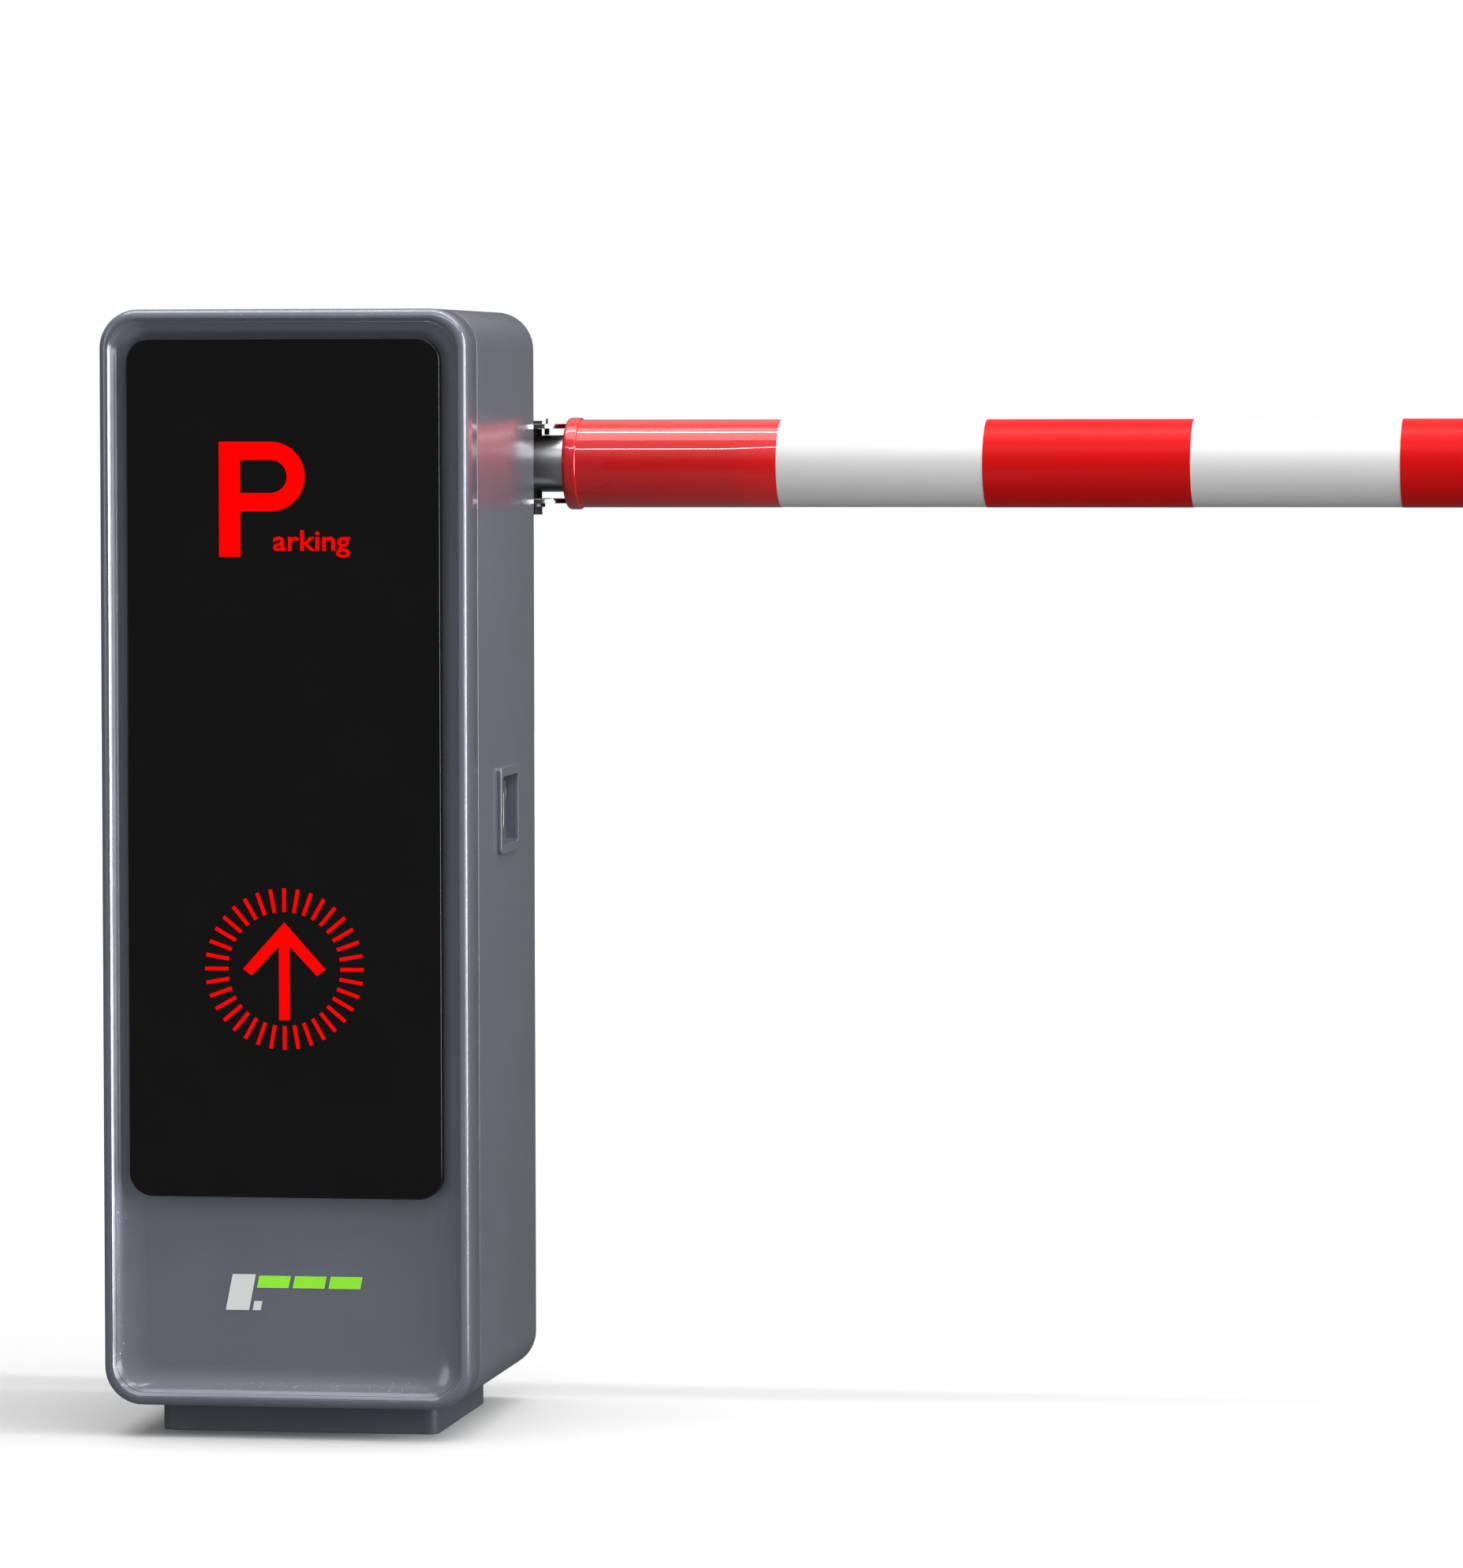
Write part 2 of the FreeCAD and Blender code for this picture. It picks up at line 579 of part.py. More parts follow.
def hinge_parts():
    """Three concealed goose-neck hinges. The pins stand inside the cabinet, behind the seam, so that nothing
    shows outside and the door's edge swings clear of the shell's edge."""
    necks, brackets, pins = [], [], []
    knuckle = 4.2
    for z in hinge_heights:
        z0, z1 = z - hinge_width / 2.0, z + hinge_width / 2.0
        third = hinge_width / 3.0
        pins.append(rod_z(hinge_x, hinge_y, hinge_pin_radius, z0 - 3.0, z1 + 3.0))
        bore = rod_z(hinge_x, hinge_y, hinge_pin_radius + running_clearance, z0 - 1.0, z1 + 1.0)
        strap_x = neck_x + hinge_strap
        neck = fuse([
            rod_z(hinge_x, hinge_y, knuckle, z0 + third, z1 - third),
            box(hinge_x, strap_x, hinge_y - hinge_strap / 2.0, hinge_y + hinge_strap / 2.0, z0 + third, z1 - third),
            box(neck_x, strap_x, seam_y - 20.0, hinge_y + hinge_strap / 2.0, z0 + third, z1 - third),
            box(-half_width + door_wall, strap_x, seam_y - 24.0, seam_y - 20.0, z0 + 2.0, z1 - 2.0),
        ])
        necks.append(neck.cut(bore))
        for low, high in ((z0, z0 + third - 0.4), (z1 - third + 0.4, z1)):
            ear = fuse([
                rod_z(hinge_x, hinge_y, knuckle, low, high),
                box(-half_width + shell_wall, hinge_x + 1.0, hinge_y, hinge_y + 20.0, low, high),
            ])
            brackets.append(ear.cut(bore))
    export("hinge_necks", necks)
    export("hinge_brackets", brackets)
    export("hinge_pins", pins)


# ---------------------------------------------------------------- chassis
tie_radius = 8.0
stop_half = 9.0
buffer_radius = 9.0
buffer_length = 16.0
buffer_gap = 0.4
stop_reach = 45.0


def stop_place(side):
    """Centre of a stop bar and its buffer's free end. side -1 is the lowered boom's stop, +1 the raised one's."""
    contact_x = (stop_reach - lever_half_width) * diagonal
    contact_z = shaft_z + side * (stop_reach + lever_half_width) * diagonal
    back_off = buffer_gap + buffer_length + stop_half
    bar_x = contact_x - back_off * diagonal
    bar_z = contact_z + side * back_off * diagonal
    tip_x = contact_x - buffer_gap * diagonal
    tip_z = contact_z + side * buffer_gap * diagonal
    return bar_x, bar_z, tip_x, tip_z


def chassis_windows(y0, y1):
    windows = []
    middle = (shaft_z + crank_z) / 2.0
    for side in (-1.0, 1.0):
        windows.append(front_prism(32.0, 88.0, 10.0, y0 - 1.0, y1 + 1.0, middle, side * 62.0))
    return windows


def housing_bolt_places():
    reach = housing_radius - 8.0
    return [(reach * math.cos(math.radians(a)), reach * math.sin(math.radians(a))) for a in (45, 135, 225, 315)]


def chassis_parts():
    plates = {}
    spans = {"chassis_front_plate": (front_plate_front, front_plate_back),
             "chassis_rear_plate": (rear_plate_front, chassis_back)}
    for name, (y0, y1) in spans.items():
        plate = box(-chassis_half_width, chassis_half_width, y0, y1, floor_top, chassis_top)
        cuts = [rod_y(0.0, shaft_z, shaft_radius + 3.0, y0 - 1.0, y1 + 1.0)] + chassis_windows(y0, y1)
        for dx, dz in housing_bolt_places():
            cuts.append(rod_y(dx, shaft_z + dz, 4.2, y0 - 1.0, y1 + 1.0))
        plates[name] = cut(plate, cuts)
    output_hole = rod_y(0.0, crank_z, output_radius + 8.0, front_plate_front - 1.0, front_plate_back + 1.0)
    plates["chassis_front_plate"] = plates["chassis_front_plate"].cut(output_hole)
    for name, plate in plates.items():
        export(name, plate)

    ties = []
    tie_x = chassis_half_width - tie_radius - 4.0
    for x in (-tie_x, tie_x):
        for z in (floor_top + 60.0, chassis_top - tie_radius - 6.0):
            ties.append(rod_y(x, z, tie_radius, front_plate_back, rear_plate_front))
    for side in (-1.0, 1.0):
        bar_x, bar_z, _, _ = stop_place(side)
        bar = box(-stop_half, stop_half, front_plate_back, rear_plate_front, -stop_half, stop_half)
        bar.rotate(Vector(0, 0, 0), Vector(0, 1, 0), 45.0)
        bar.translate(Vector(bar_x, 0, bar_z))
        ties.append(bar)
    export("tie_and_stop_bars", ties)

    buffers = []
    for side in (-1.0, 1.0):
        _, _, tip_x, tip_z = stop_place(side)
        away = Vector(-diagonal, 0, side * diagonal)
        buffers.append(Part.makeCylinder(buffer_radius, buffer_length, Vector(tip_x, lever_y, tip_z), away))
    export("stop_buffers", buffers)


def bearing_parts():
    housings, outers, inners, bolts = [], [], [], []
    for face, away in ((front_plate_back, 1.0), (rear_plate_front, -1.0)):
        y0, y1 = sorted((face, face + away * housing_width))
        lip = 2.0
        r0, r1 = sorted((face + away * lip, face + away * (lip + bearing_width)))
        body = rod_y(0.0, shaft_z, housing_radius, y0, y1)
        pocket0, pocket1 = sorted((face + away * lip, face + away * (housing_width + 1.0)))
        cuts = [rod_y(0.0, shaft_z, bearing_radius, pocket0, pocket1),
                rod_y(0.0, shaft_z, bearing_radius - 4.0, y0 - 1.0, y1 + 1.0)]
        for dx, dz in housing_bolt_places():
            cuts.append(rod_y(dx, shaft_z + dz, 4.2, y0 - 1.0, y1 + 1.0))
            seat = Vector(dx, face + away * housing_width, shaft_z + dz)
            bolts.append(bolt(seat, (0, -away, 0), 4.0, housing_width + chassis_plate))
        housings.append(cut(body, cuts))
        outers.append(rod_y(0.0, shaft_z, bearing_radius, r0, r1).cut(
            rod_y(0.0, shaft_z, bearing_radius - 5.5, r0 - 1.0, r1 + 1.0)))
        inners.append(rod_y(0.0, shaft_z, bearing_radius - 5.7, r0, r1).cut(
            rod_y(0.0, shaft_z, shaft_radius, r0 - 1.0, r1 + 1.0)))
    export("bearing_housings", housings)
    export("bearing_outer_rings", outers)
    export("bearing_inner_rings", inners)
    return bolts


# ---------------------------------------------------------------- shaft, lever, crank and link
def arm(x0, z0, x1, z1, y0, y1, half, end_radius):
    """Flat bar from one centre to another, with a rounded far end."""
    length = math.hypot(x1 - x0, z1 - z0)
    bar = box(0.0, length, y0, y1, -half, half)
    bar = bar.fuse(rod_y(length, 0.0, end_radius, y0, y1))
    bar.rotate(Vector(0, 0, 0), Vector(0, 1, 0), -math.degrees(math.atan2(z1 - z0, x1 - x0)))
    bar.translate(Vector(x0, 0, z0))
    return bar


def shaft_parts():
    shaft_front = front_plate_front - 4.0
    hub_end = boom_y + fork_end_radius
    shaft = rod_y(0.0, shaft_z, shaft_radius, shaft_front, hub_end - 2.0)
    tapped = rod_y(0.0, shaft_z, 5.0, hub_end - 34.0, hub_end)
    export("main_shaft", shaft.cut(tapped))

    y0, y1 = lever_y - lever_half, lever_y + lever_half
    lever = fuse([
        rod_y(0.0, shaft_z, hub_radius, lever_y - 10.0, lever_y + 10.0),
        arm(0.0, shaft_z, drive_pin_x, shaft_z + drive_pin_dz, y0, y1, lever_half_width, 19.0),
        arm(0.0, shaft_z, spring_x, spring_top_z, y0, y1, lever_half_width, 17.0),
    ])
    lever = cut(lever, [
        rod_y(0.0, shaft_z, shaft_radius, lever_y - 11.0, lever_y + 11.0),
        rod_y(drive_pin_x, shaft_z + drive_pin_dz, pin_radius, y0 - 1.0, y1 + 1.0),
        rod_y(spring_x, spring_top_z, spring_pin_radius, y0 - 1.0, y1 + 1.0),
    ])
    export("shaft_lever", lever)

    drive_pin = fuse([
        rod_y(drive_pin_x, shaft_z + drive_pin_dz, pin_radius, link_front - 3.0, y1),
        rod_y(drive_pin_x, shaft_z + drive_pin_dz, 12.0, link_front - 3.5, link_front - 0.5),
    ])
    reach = spring_offset + 9.0
    spring_pin = fuse([
        rod_y(spring_x, spring_top_z, spring_pin_radius, lever_y - reach, lever_y + reach),
        rod_y(spring_x, spring_top_z, 9.5, lever_y - reach - 2.5, lever_y - reach),
        rod_y(spring_x, spring_top_z, 9.5, lever_y + reach, lever_y + reach + 2.5),
    ])
    export("lever_pins", [drive_pin, spring_pin])

    cam_y0 = front_plate_back + housing_width + 3.0
    cams = []
    for k in range(2):
        disc = rod_y(0.0, shaft_z, 30.0, cam_y0 + 6.0 * k, cam_y0 + 6.0 * k + 5.0)
        disc = disc.cut(rod_y(0.0, shaft_z, shaft_radius, cam_y0 - 1.0, cam_y0 + 20.0))
        notch = box(20.0 if k else -40.0, 40.0 if k else -20.0, cam_y0 - 1.0, cam_y0 + 20.0,
                    shaft_z + 6.0, shaft_z + 40.0)
        cams.append(disc.cut(notch))
    export("cam_discs", cams)
    switches = []
    switch_back = housing_radius + 0.3
    for k, turn in enumerate((90.0 - switch_spread, 90.0 + switch_spread)):
        y = cam_y0 + 6.0 * k
        switch = fuse([
            box(-6.0, 6.0, y, y + 5.0, 33.0, switch_back),
            rod_y(0.0, 33.0, 1.8, y + 1.0, y + 4.0),
            box(-6.0, 6.0, front_plate_back, y + 5.0, switch_back, switch_back + switch_bracket),
        ])
        switch.rotate(Vector(0, 0, 0), Vector(0, 1, 0), turn)
        switch.translate(Vector(0, 0, shaft_z))
        switches.append(switch)
    export("limit_switches", switches)


def crank_parts():
    y0, y1 = lever_y - lever_half, lever_y + lever_half
    pin_z = crank_z + drive_pin_dz
    crank = fuse([
        rod_y(0.0, crank_z, 26.0, y0 - 4.0, y1 + 4.0),
        arm(0.0, crank_z, drive_pin_x, pin_z, y0, y1, lever_half_width, 19.0),
    ])
    crank = fuse([
        crank.cut(rod_y(0.0, crank_z, output_radius, y0 - 5.0, y1 + 5.0)),
        rod_y(drive_pin_x, pin_z, pin_radius, link_front - 3.0, y1),
        rod_y(drive_pin_x, pin_z, 12.0, link_front - 3.5, link_front - 0.5),
    ])
    export("crank_arm", crank)
    gearbox_back = front_plate_front
    export("output_shaft", rod_y(0.0, crank_z, output_radius, gearbox_back - 40.0, y1 + 4.0))

    bush = 12.0
    top_z = shaft_z + drive_pin_dz
    rod = fuse([
        box(drive_pin_x - 11.0, drive_pin_x + 11.0, link_front, link_back, pin_z, top_z),
        rod_y(drive_pin_x, pin_z, 19.0, link_front, link_back),
        rod_y(drive_pin_x, top_z, 19.0, link_front, link_back),
    ])
    holes = [rod_y(drive_pin_x, z, bush, link_front - 1.0, link_back + 1.0) for z in (pin_z, top_z)]
    export("connecting_rod", cut(rod, holes))
    bushes = []
    for z, clearance in ((pin_z, running_clearance), (top_z, pin_clearance)):
        ring = rod_y(drive_pin_x, z, bush, link_front, link_back)
        bushes.append(ring.cut(rod_y(drive_pin_x, z, pin_radius + clearance, link_front - 1.0, link_back + 1.0)))
    export("rod_bushes", bushes)


# ---------------------------------------------------------------- springs
eye_slack = 0.1
lower_eye_z = anchor_bar_height + anchor_bar_thickness + 54.0
wire_gap = spring_wire + eyebolt_wire + 0.3


def spring_parts():
    springs, eyebolts, nuts = [], [], []
    upper_eye_z = spring_top_z - (eye_radius - spring_wire - spring_pin_radius) + eye_slack
    coil_bottom, coil_top = lower_eye_z + 24.0, upper_eye_z - 34.0
    eyebolt_z = lower_eye_z - eye_radius - eyebolt_radius + wire_gap
    for side in (-1.0, 1.0):
        y = lever_y + side * spring_offset
        coil = rod_z(spring_x, y, spring_outer, coil_bottom, coil_top).cut(
            rod_z(spring_x, y, spring_inner, coil_bottom - 1.0, coil_top + 1.0))
        pieces = [coil]
        for eye_z, end_z, inward in ((upper_eye_z, coil_top, -1.0), (lower_eye_z, coil_bottom, 1.0)):
            pieces.append(Part.makeTorus(eye_radius, spring_wire, Vector(spring_x, y, eye_z), Vector(0, 1, 0)))
            low, high = sorted((eye_z + inward * eye_radius, end_z + inward * 4.0))
            pieces.append(rod_z(spring_x, y, spring_wire, low, high))
            low, high = sorted((end_z, end_z + inward * 5.0))
            pieces.append(box(spring_x - spring_outer + 1.5, spring_x + spring_outer - 1.5, y - 2.5, y + 2.5, low, high))
        springs.append(fuse(pieces))
        ring = Part.makeTorus(eyebolt_radius, eyebolt_wire, Vector(spring_x, y, eyebolt_z), Vector(1, 0, 0))
        shank = rod_z(spring_x, y, 6.0, anchor_bar_height - 26.0, eyebolt_z - eyebolt_radius)
        eyebolts.append(fuse([ring, shank]))
        for seat in (anchor_bar_height - 9.0, anchor_bar_height + anchor_bar_thickness):
            nut = hexagon(Vector(spring_x, y, seat), (0, 0, 1), 19.0, 9.0)
            nuts.append(nut.cut(rod_z(spring_x, y, 6.0, seat - 1.0, seat + 10.0)))
    export("balance_springs", springs)
    export("spring_eye_bolts", eyebolts + nuts)
    bar = box(spring_x - 22.0, spring_x + 22.0, front_plate_back, rear_plate_front, anchor_bar_height,
              anchor_bar_height + anchor_bar_thickness)
    holes = [rod_z(spring_x, lever_y + side * spring_offset, 6.2, anchor_bar_height - 1.0,
                   anchor_bar_height + anchor_bar_thickness + 1.0) for side in (-1.0, 1.0)]
    export("spring_anchor_bar", cut(bar, holes))


# ---------------------------------------------------------------- drive and electrics
def drive_parts():
    back = front_plate_front
    front = back - gearbox_depth
    low = crank_z - gearbox_half_height
    worm_y = (front + back) / 2.0
    housing = front_prism((gearbox_left + gearbox_right) / 2.0, gearbox_half_height, 12.0, front + 6.0, back,
                          crank_z, (gearbox_right - gearbox_left) / 2.0)
    bore = rod_y(0.0, crank_z, output_radius + running_clearance, back - 42.0, back + 1.0)
    export("gearbox_housing", housing.cut(bore))
    cover = rod_y(0.0, crank_z, 42.0, front, front + 6.0)
    screw_places = [(34.0 * math.cos(math.radians(a)), 34.0 * math.sin(math.radians(a))) for a in range(30, 390, 60)]
    cover = cut(cover, [rod_y(dx, crank_z + dz, 2.6, front - 1.0, front + 7.0) for dx, dz in screw_places])
    screws = []
    for dx, dz in screw_places:
        screws.append(fuse([rod_y(dx, crank_z + dz, 4.5, front - 3.0, front),
                            rod_y(dx, crank_z + dz, 2.5, front - 1.0, front + 6.0)]))
    export("gearbox_cover", [cover] + screws)

    motor_top = low
    motor_bottom = motor_top - motor_length
    motor_y = worm_y - 3.0
    flange = rod_z(-worm_offset, motor_y, motor_radius - 1.0, motor_top - 10.0, motor_top)
    can = rod_z(-worm_offset, motor_y, motor_radius - 5.0, motor_bottom + 30.0, motor_top - 10.0)
    ribs = [rod_z(-worm_offset, motor_y, motor_radius - 2.0, motor_top - 22.0 - 10.0 * k, motor_top - 18.0 - 10.0 * k)
            for k in range(9)]
    body = fuse([flange, can] + ribs)
    cap = rod_z(-worm_offset, motor_y, motor_radius - 3.0, motor_bottom, motor_bottom + 30.0)
    edges = [e for e in cap.Edges if abs(e.BoundBox.ZMax - motor_bottom) < 0.01]
    export("drive_motor", [body, cap.makeFillet(6.0, edges)])


def electric_parts():
    """Control box, supply and breaker, on the cabinet's left wall in front of the chassis."""
    wall = -half_width + shell_wall
    y1 = front_plate_front - 14.0
    y0 = y1 - 100.0
    controller_z = controller_height
    box_height, box_depth, box_wall = 180.0, 40.0, 3.0
    case = box(wall, wall + box_depth, y0, y1, controller_z, controller_z + box_height)
    hollow = box(wall + box_wall, wall + box_depth + 1.0, y0 + box_wall, y1 - box_wall, controller_z + box_wall,
                 controller_z + box_height - box_wall)
    export("controller_case", case.cut(hollow))
    board = box(wall + 12.0, wall + 14.0, y0 + box_wall, y1 - box_wall, controller_z + box_wall,
                controller_z + box_height - box_wall)
    blocks = []
    for k in range(8):
        z = controller_z + 14.0 + 19.5 * k
        block = box(wall + 14.0, wall + 28.0, y0 + 8.0, y0 + 20.0, z, z + 17.0)
        screw = rod_x(y0 + 14.0, z + 8.5, 3.0, wall + 26.0, wall + 29.0)
        blocks.append(block.cut(screw))
    export("controller_board", [board] + blocks)

    supply_z = controller_z - 150.0
    supply = box(wall, wall + 36.0, y0 + 5.0, y1 - 5.0, supply_z, supply_z + 110.0)
    slots = [box(wall + 30.0, wall + 37.0, y0 + 20.0, y1 - 20.0, supply_z + 15.0 + 12.0 * k, supply_z + 20.0 + 12.0 * k)
             for k in range(7)]
    export("power_supply", cut(supply, slots))
    breaker_z = controller_z + box_height + 40.0
    breaker = box(wall, wall + 42.0, y0 + 30.0, y0 + 66.0, breaker_z, breaker_z + 80.0)
    nose = box(wall + 42.0, wall + 48.0, y0 + 30.0, y0 + 66.0, breaker_z + 18.0, breaker_z + 62.0)
    export("circuit_breaker", fuse([breaker, nose]))


# ---------------------------------------------------------------- fork and boom
def fork_parts():
    """The fork: a hub on the shaft's end between two plates, whose rounded ends hold the boom's root tube on
    an upright pivot bolt. A sprung plunger in the top plate keeps the boom straight until it is struck."""
    z_low, z_high = shaft_z - fork_half_gap, shaft_z + fork_half_gap
    y0, y1 = boom_y - fork_end_radius, boom_y + fork_end_radius
    tail = -hub_radius - 8.0
    plates = []
    for z0 in (z_high, z_low - fork_plate):
        plate = fuse([box(tail, pivot_x, y0, y1, z0, z0 + fork_plate),
                      rod_z(pivot_x, boom_y, fork_end_radius, z0, z0 + fork_plate)])
        plates.append(plate)
    hub_front = rear_y + 7.0
    hub = rod_y(0.0, shaft_z, fork_half_gap + 2.0, hub_front, y1)
    web_x = pivot_x - math.hypot(root_tail, root_radius) - 9.0
    web = box(web_x, web_x + 6.0, y0, y1, z_low - 1.0, z_high + 1.0)
    fork = fuse(plates + [hub, web])
    plunger_x = pivot_x + 15.0
    fork = cut(fork, [
        rod_y(0.0, shaft_z, shaft_radius, hub_front - 1.0, y1 + 1.0),
        rod_z(pivot_x, boom_y, pivot_radius, z_low - 20.0, z_high + 20.0),
        rod_z(plunger_x, boom_y, 4.0, z_high - 1.0, z_high + fork_plate + 1.0),
    ])
    export("boom_fork", fork)

    washer = 13.0
    seat_top = z_high + fork_plate
    seat_low = z_low - fork_plate
    pivot = fuse([
        rod_z(pivot_x, boom_y, pivot_radius, seat_low - 3.6, seat_top + 3.0),
        rod_z(pivot_x, boom_y, washer, seat_low - 3.6, seat_low),
        hexagon(Vector(pivot_x, boom_y, seat_low - 11.0), (0, 0, 1), 18.0, 7.4),
        hexagon(Vector(pivot_x, boom_y, seat_top), (0, 0, 1), 18.0, 3.0),
    ])
    export("pivot_bolt", pivot)
    plunger = fuse([
        rod_z(plunger_x, boom_y, 4.0, z_high, seat_top),
        rod_z(plunger_x, boom_y, 1.0, seat_top - 1.0, seat_top + 5.0),
        rod_z(plunger_x, boom_y, 2.4, shaft_z + root_radius + 0.4, z_high),
    ])
    export("detent_plunger", plunger)
    end = fuse([
        rod_y(0.0, shaft_z, 26.0, y1, y1 + 5.0),
        hexagon(Vector(0.0, y1 + 5.0, shaft_z), (0, 1, 0), 17.0, 7.0),
        rod_y(0.0, shaft_z, 5.0, y1 - 30.0, y1 + 6.0),
    ])
    export("shaft_end_bolt", end)


def boom_parts():
    inner = root_radius - root_wall
    root = rod_x(boom_y, shaft_z, root_radius, pivot_x - root_tail, collar_x + root_insert)
    root = root.cut(rod_x(boom_y, shaft_z, inner, pivot_x - root_tail - 1.0, collar_x + root_insert + 1.0))
    bore = rod_z(pivot_x, boom_y, pivot_radius + running_clearance, shaft_z - 60.0, shaft_z + 60.0)
    export("boom_root_tube", root.cut(bore))

    spacers = []
    for side in (-1.0, 1.0):
        start, end = side * (root_radius - 2.6), side * (fork_half_gap - 0.3)
        low, high = sorted((shaft_z + start, shaft_z + end))
        ring = rod_z(pivot_x, boom_y, 10.0, low, high)
        ring = cut(ring, [bore, rod_x(boom_y, shaft_z, root_radius, pivot_x - 20.0, pivot_x + 20.0)])
        spacers.append(ring)
    export("pivot_spacers", spacers)

    skin_radius = boom_radius - film
    tube_inner = skin_radius - boom_wall
    tube = rod_x(boom_y, shaft_z, skin_radius, boom_start, boom_end)
    export("boom_tube", tube.cut(rod_x(boom_y, shaft_z, tube_inner, boom_start - 1.0, boom_end + 1.0)))

    bushes = []
    for x in (boom_start, collar_x + root_insert - 40.0):
        ring = rod_x(boom_y, shaft_z, tube_inner, x, x + 40.0)
        bushes.append(ring.cut(rod_x(boom_y, shaft_z, root_radius, x - 1.0, x + 41.0)))
    export("root_bushes", bushes)

    collar = rod_x(boom_y, shaft_z, boom_radius + collar_lip, collar_x, collar_x + collar_length)
    edges = [e for e in collar.Edges if e.BoundBox.XMax < collar_x + 0.01]
    collar = collar.makeFillet(collar_face_radius, edges)
    edges = [e for e in collar.Edges if e.BoundBox.XMin > collar_x + collar_length - 0.01]
    collar = collar.makeFillet(collar_step_radius, edges)
    collar = cut(collar, [
        rod_x(boom_y, shaft_z, skin_radius, boom_start, collar_x + collar_length + 1.0),
        rod_x(boom_y, shaft_z, root_radius, collar_x - 1.0, boom_start + 1.0),
    ])
    export("boom_collar", collar)

    def sleeve(x0, x1):
        outer = rod_x(boom_y, shaft_z, boom_radius, x0, x1)
        return outer.cut(rod_x(boom_y, shaft_z, skin_radius, x0 - 1.0, x1 + 1.0))

    export("root_sleeve", sleeve(collar_x + collar_length, band_start + band_length))
    bands = [sleeve(band_start + band_length * k, band_start + band_length * (k + 1))
             for k in range(2, band_count, 2)]
    export("red_bands", bands)
    tip = rod_x(boom_y, shaft_z, boom_radius, boom_end, boom_end + 5.0)
    edges = [e for e in tip.Edges if e.BoundBox.XMin > boom_end + 4.9]
    tip = tip.makeFillet(2.5, edges)
    plug = rod_x(boom_y, shaft_z, tube_inner, boom_end - 25.0, boom_end)
    hollow = rod_x(boom_y, shaft_z, tube_inner - 3.0, boom_end - 26.0, boom_end - 0.5)
    export("boom_tip_cap", tip.fuse(plug.cut(hollow)).removeSplitter())


def main():
    os.makedirs(OUT, exist_ok=True)
    floor_bolts = base_parts()
    cabinet_parts()
    latch_parts()
    door_parts()
    legend_parts()
    hinge_parts()
    chassis_parts()
    export("frame_bolts", floor_bolts + bearing_parts())
    shaft_parts()
    crank_parts()
    spring_parts()
    drive_parts()
    electric_parts()
    fork_parts()
    boom_parts()


main()
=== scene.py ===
import math

import bmesh
import bpy
import numpy as np
from mathutils import Matrix, Vector


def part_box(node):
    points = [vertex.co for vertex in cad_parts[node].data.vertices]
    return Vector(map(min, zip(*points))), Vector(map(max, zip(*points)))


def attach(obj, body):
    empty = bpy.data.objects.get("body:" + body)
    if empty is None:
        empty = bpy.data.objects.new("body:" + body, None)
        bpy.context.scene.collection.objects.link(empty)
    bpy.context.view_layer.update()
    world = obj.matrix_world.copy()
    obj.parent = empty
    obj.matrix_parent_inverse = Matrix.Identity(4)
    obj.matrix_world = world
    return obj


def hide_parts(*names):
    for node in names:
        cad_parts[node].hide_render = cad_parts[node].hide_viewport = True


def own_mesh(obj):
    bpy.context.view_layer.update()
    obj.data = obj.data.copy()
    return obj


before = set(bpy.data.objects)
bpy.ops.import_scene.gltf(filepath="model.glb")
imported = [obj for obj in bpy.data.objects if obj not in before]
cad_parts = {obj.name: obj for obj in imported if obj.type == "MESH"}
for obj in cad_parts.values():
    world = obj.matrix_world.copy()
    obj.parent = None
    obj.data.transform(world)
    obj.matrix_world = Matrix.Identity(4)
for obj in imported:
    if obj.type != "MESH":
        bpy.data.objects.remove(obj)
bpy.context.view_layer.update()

# ---------------------------------------------------------------- camera
# The viewer stands well to the right of the cabinet's middle at door height and looks slightly left and
# down through a long lens, so that both the display and the latch side show.
camera_data = bpy.data.cameras.new("camera")
camera_data.sensor_width = 36.0
camera_data.lens = 180.76
camera_data.clip_end = 100.0
camera = bpy.data.objects.new("camera", camera_data)
bpy.context.scene.collection.objects.link(camera)
camera_place = (1.5388, -7.3066, 0.9624)
left_degrees, down_degrees, tilt_degrees = 8.92, 2.77, -0.1
turn_left = Matrix.Rotation(math.radians(left_degrees), 4, "Z")
look_down = Matrix.Rotation(math.radians(90.0 - down_degrees), 4, "X")
tilt = Matrix.Rotation(math.radians(tilt_degrees), 4, "Z")
camera.matrix_world = Matrix.Translation(camera_place) @ turn_left @ look_down @ tilt
bpy.context.scene.camera = camera


# ---------------------------------------------------------------- studio
# A pale round floor that fades into a white background, long strip lights overhead, in front and at the
# right, and wide soft boxes. The room that the object mirrors is bright above and dim round the horizon.
def new_object(name, mesh):
    """Puts a finished mesh into the scene."""
    piece = bpy.data.objects.new(name, mesh)
    bpy.context.scene.collection.objects.link(piece)
    return piece


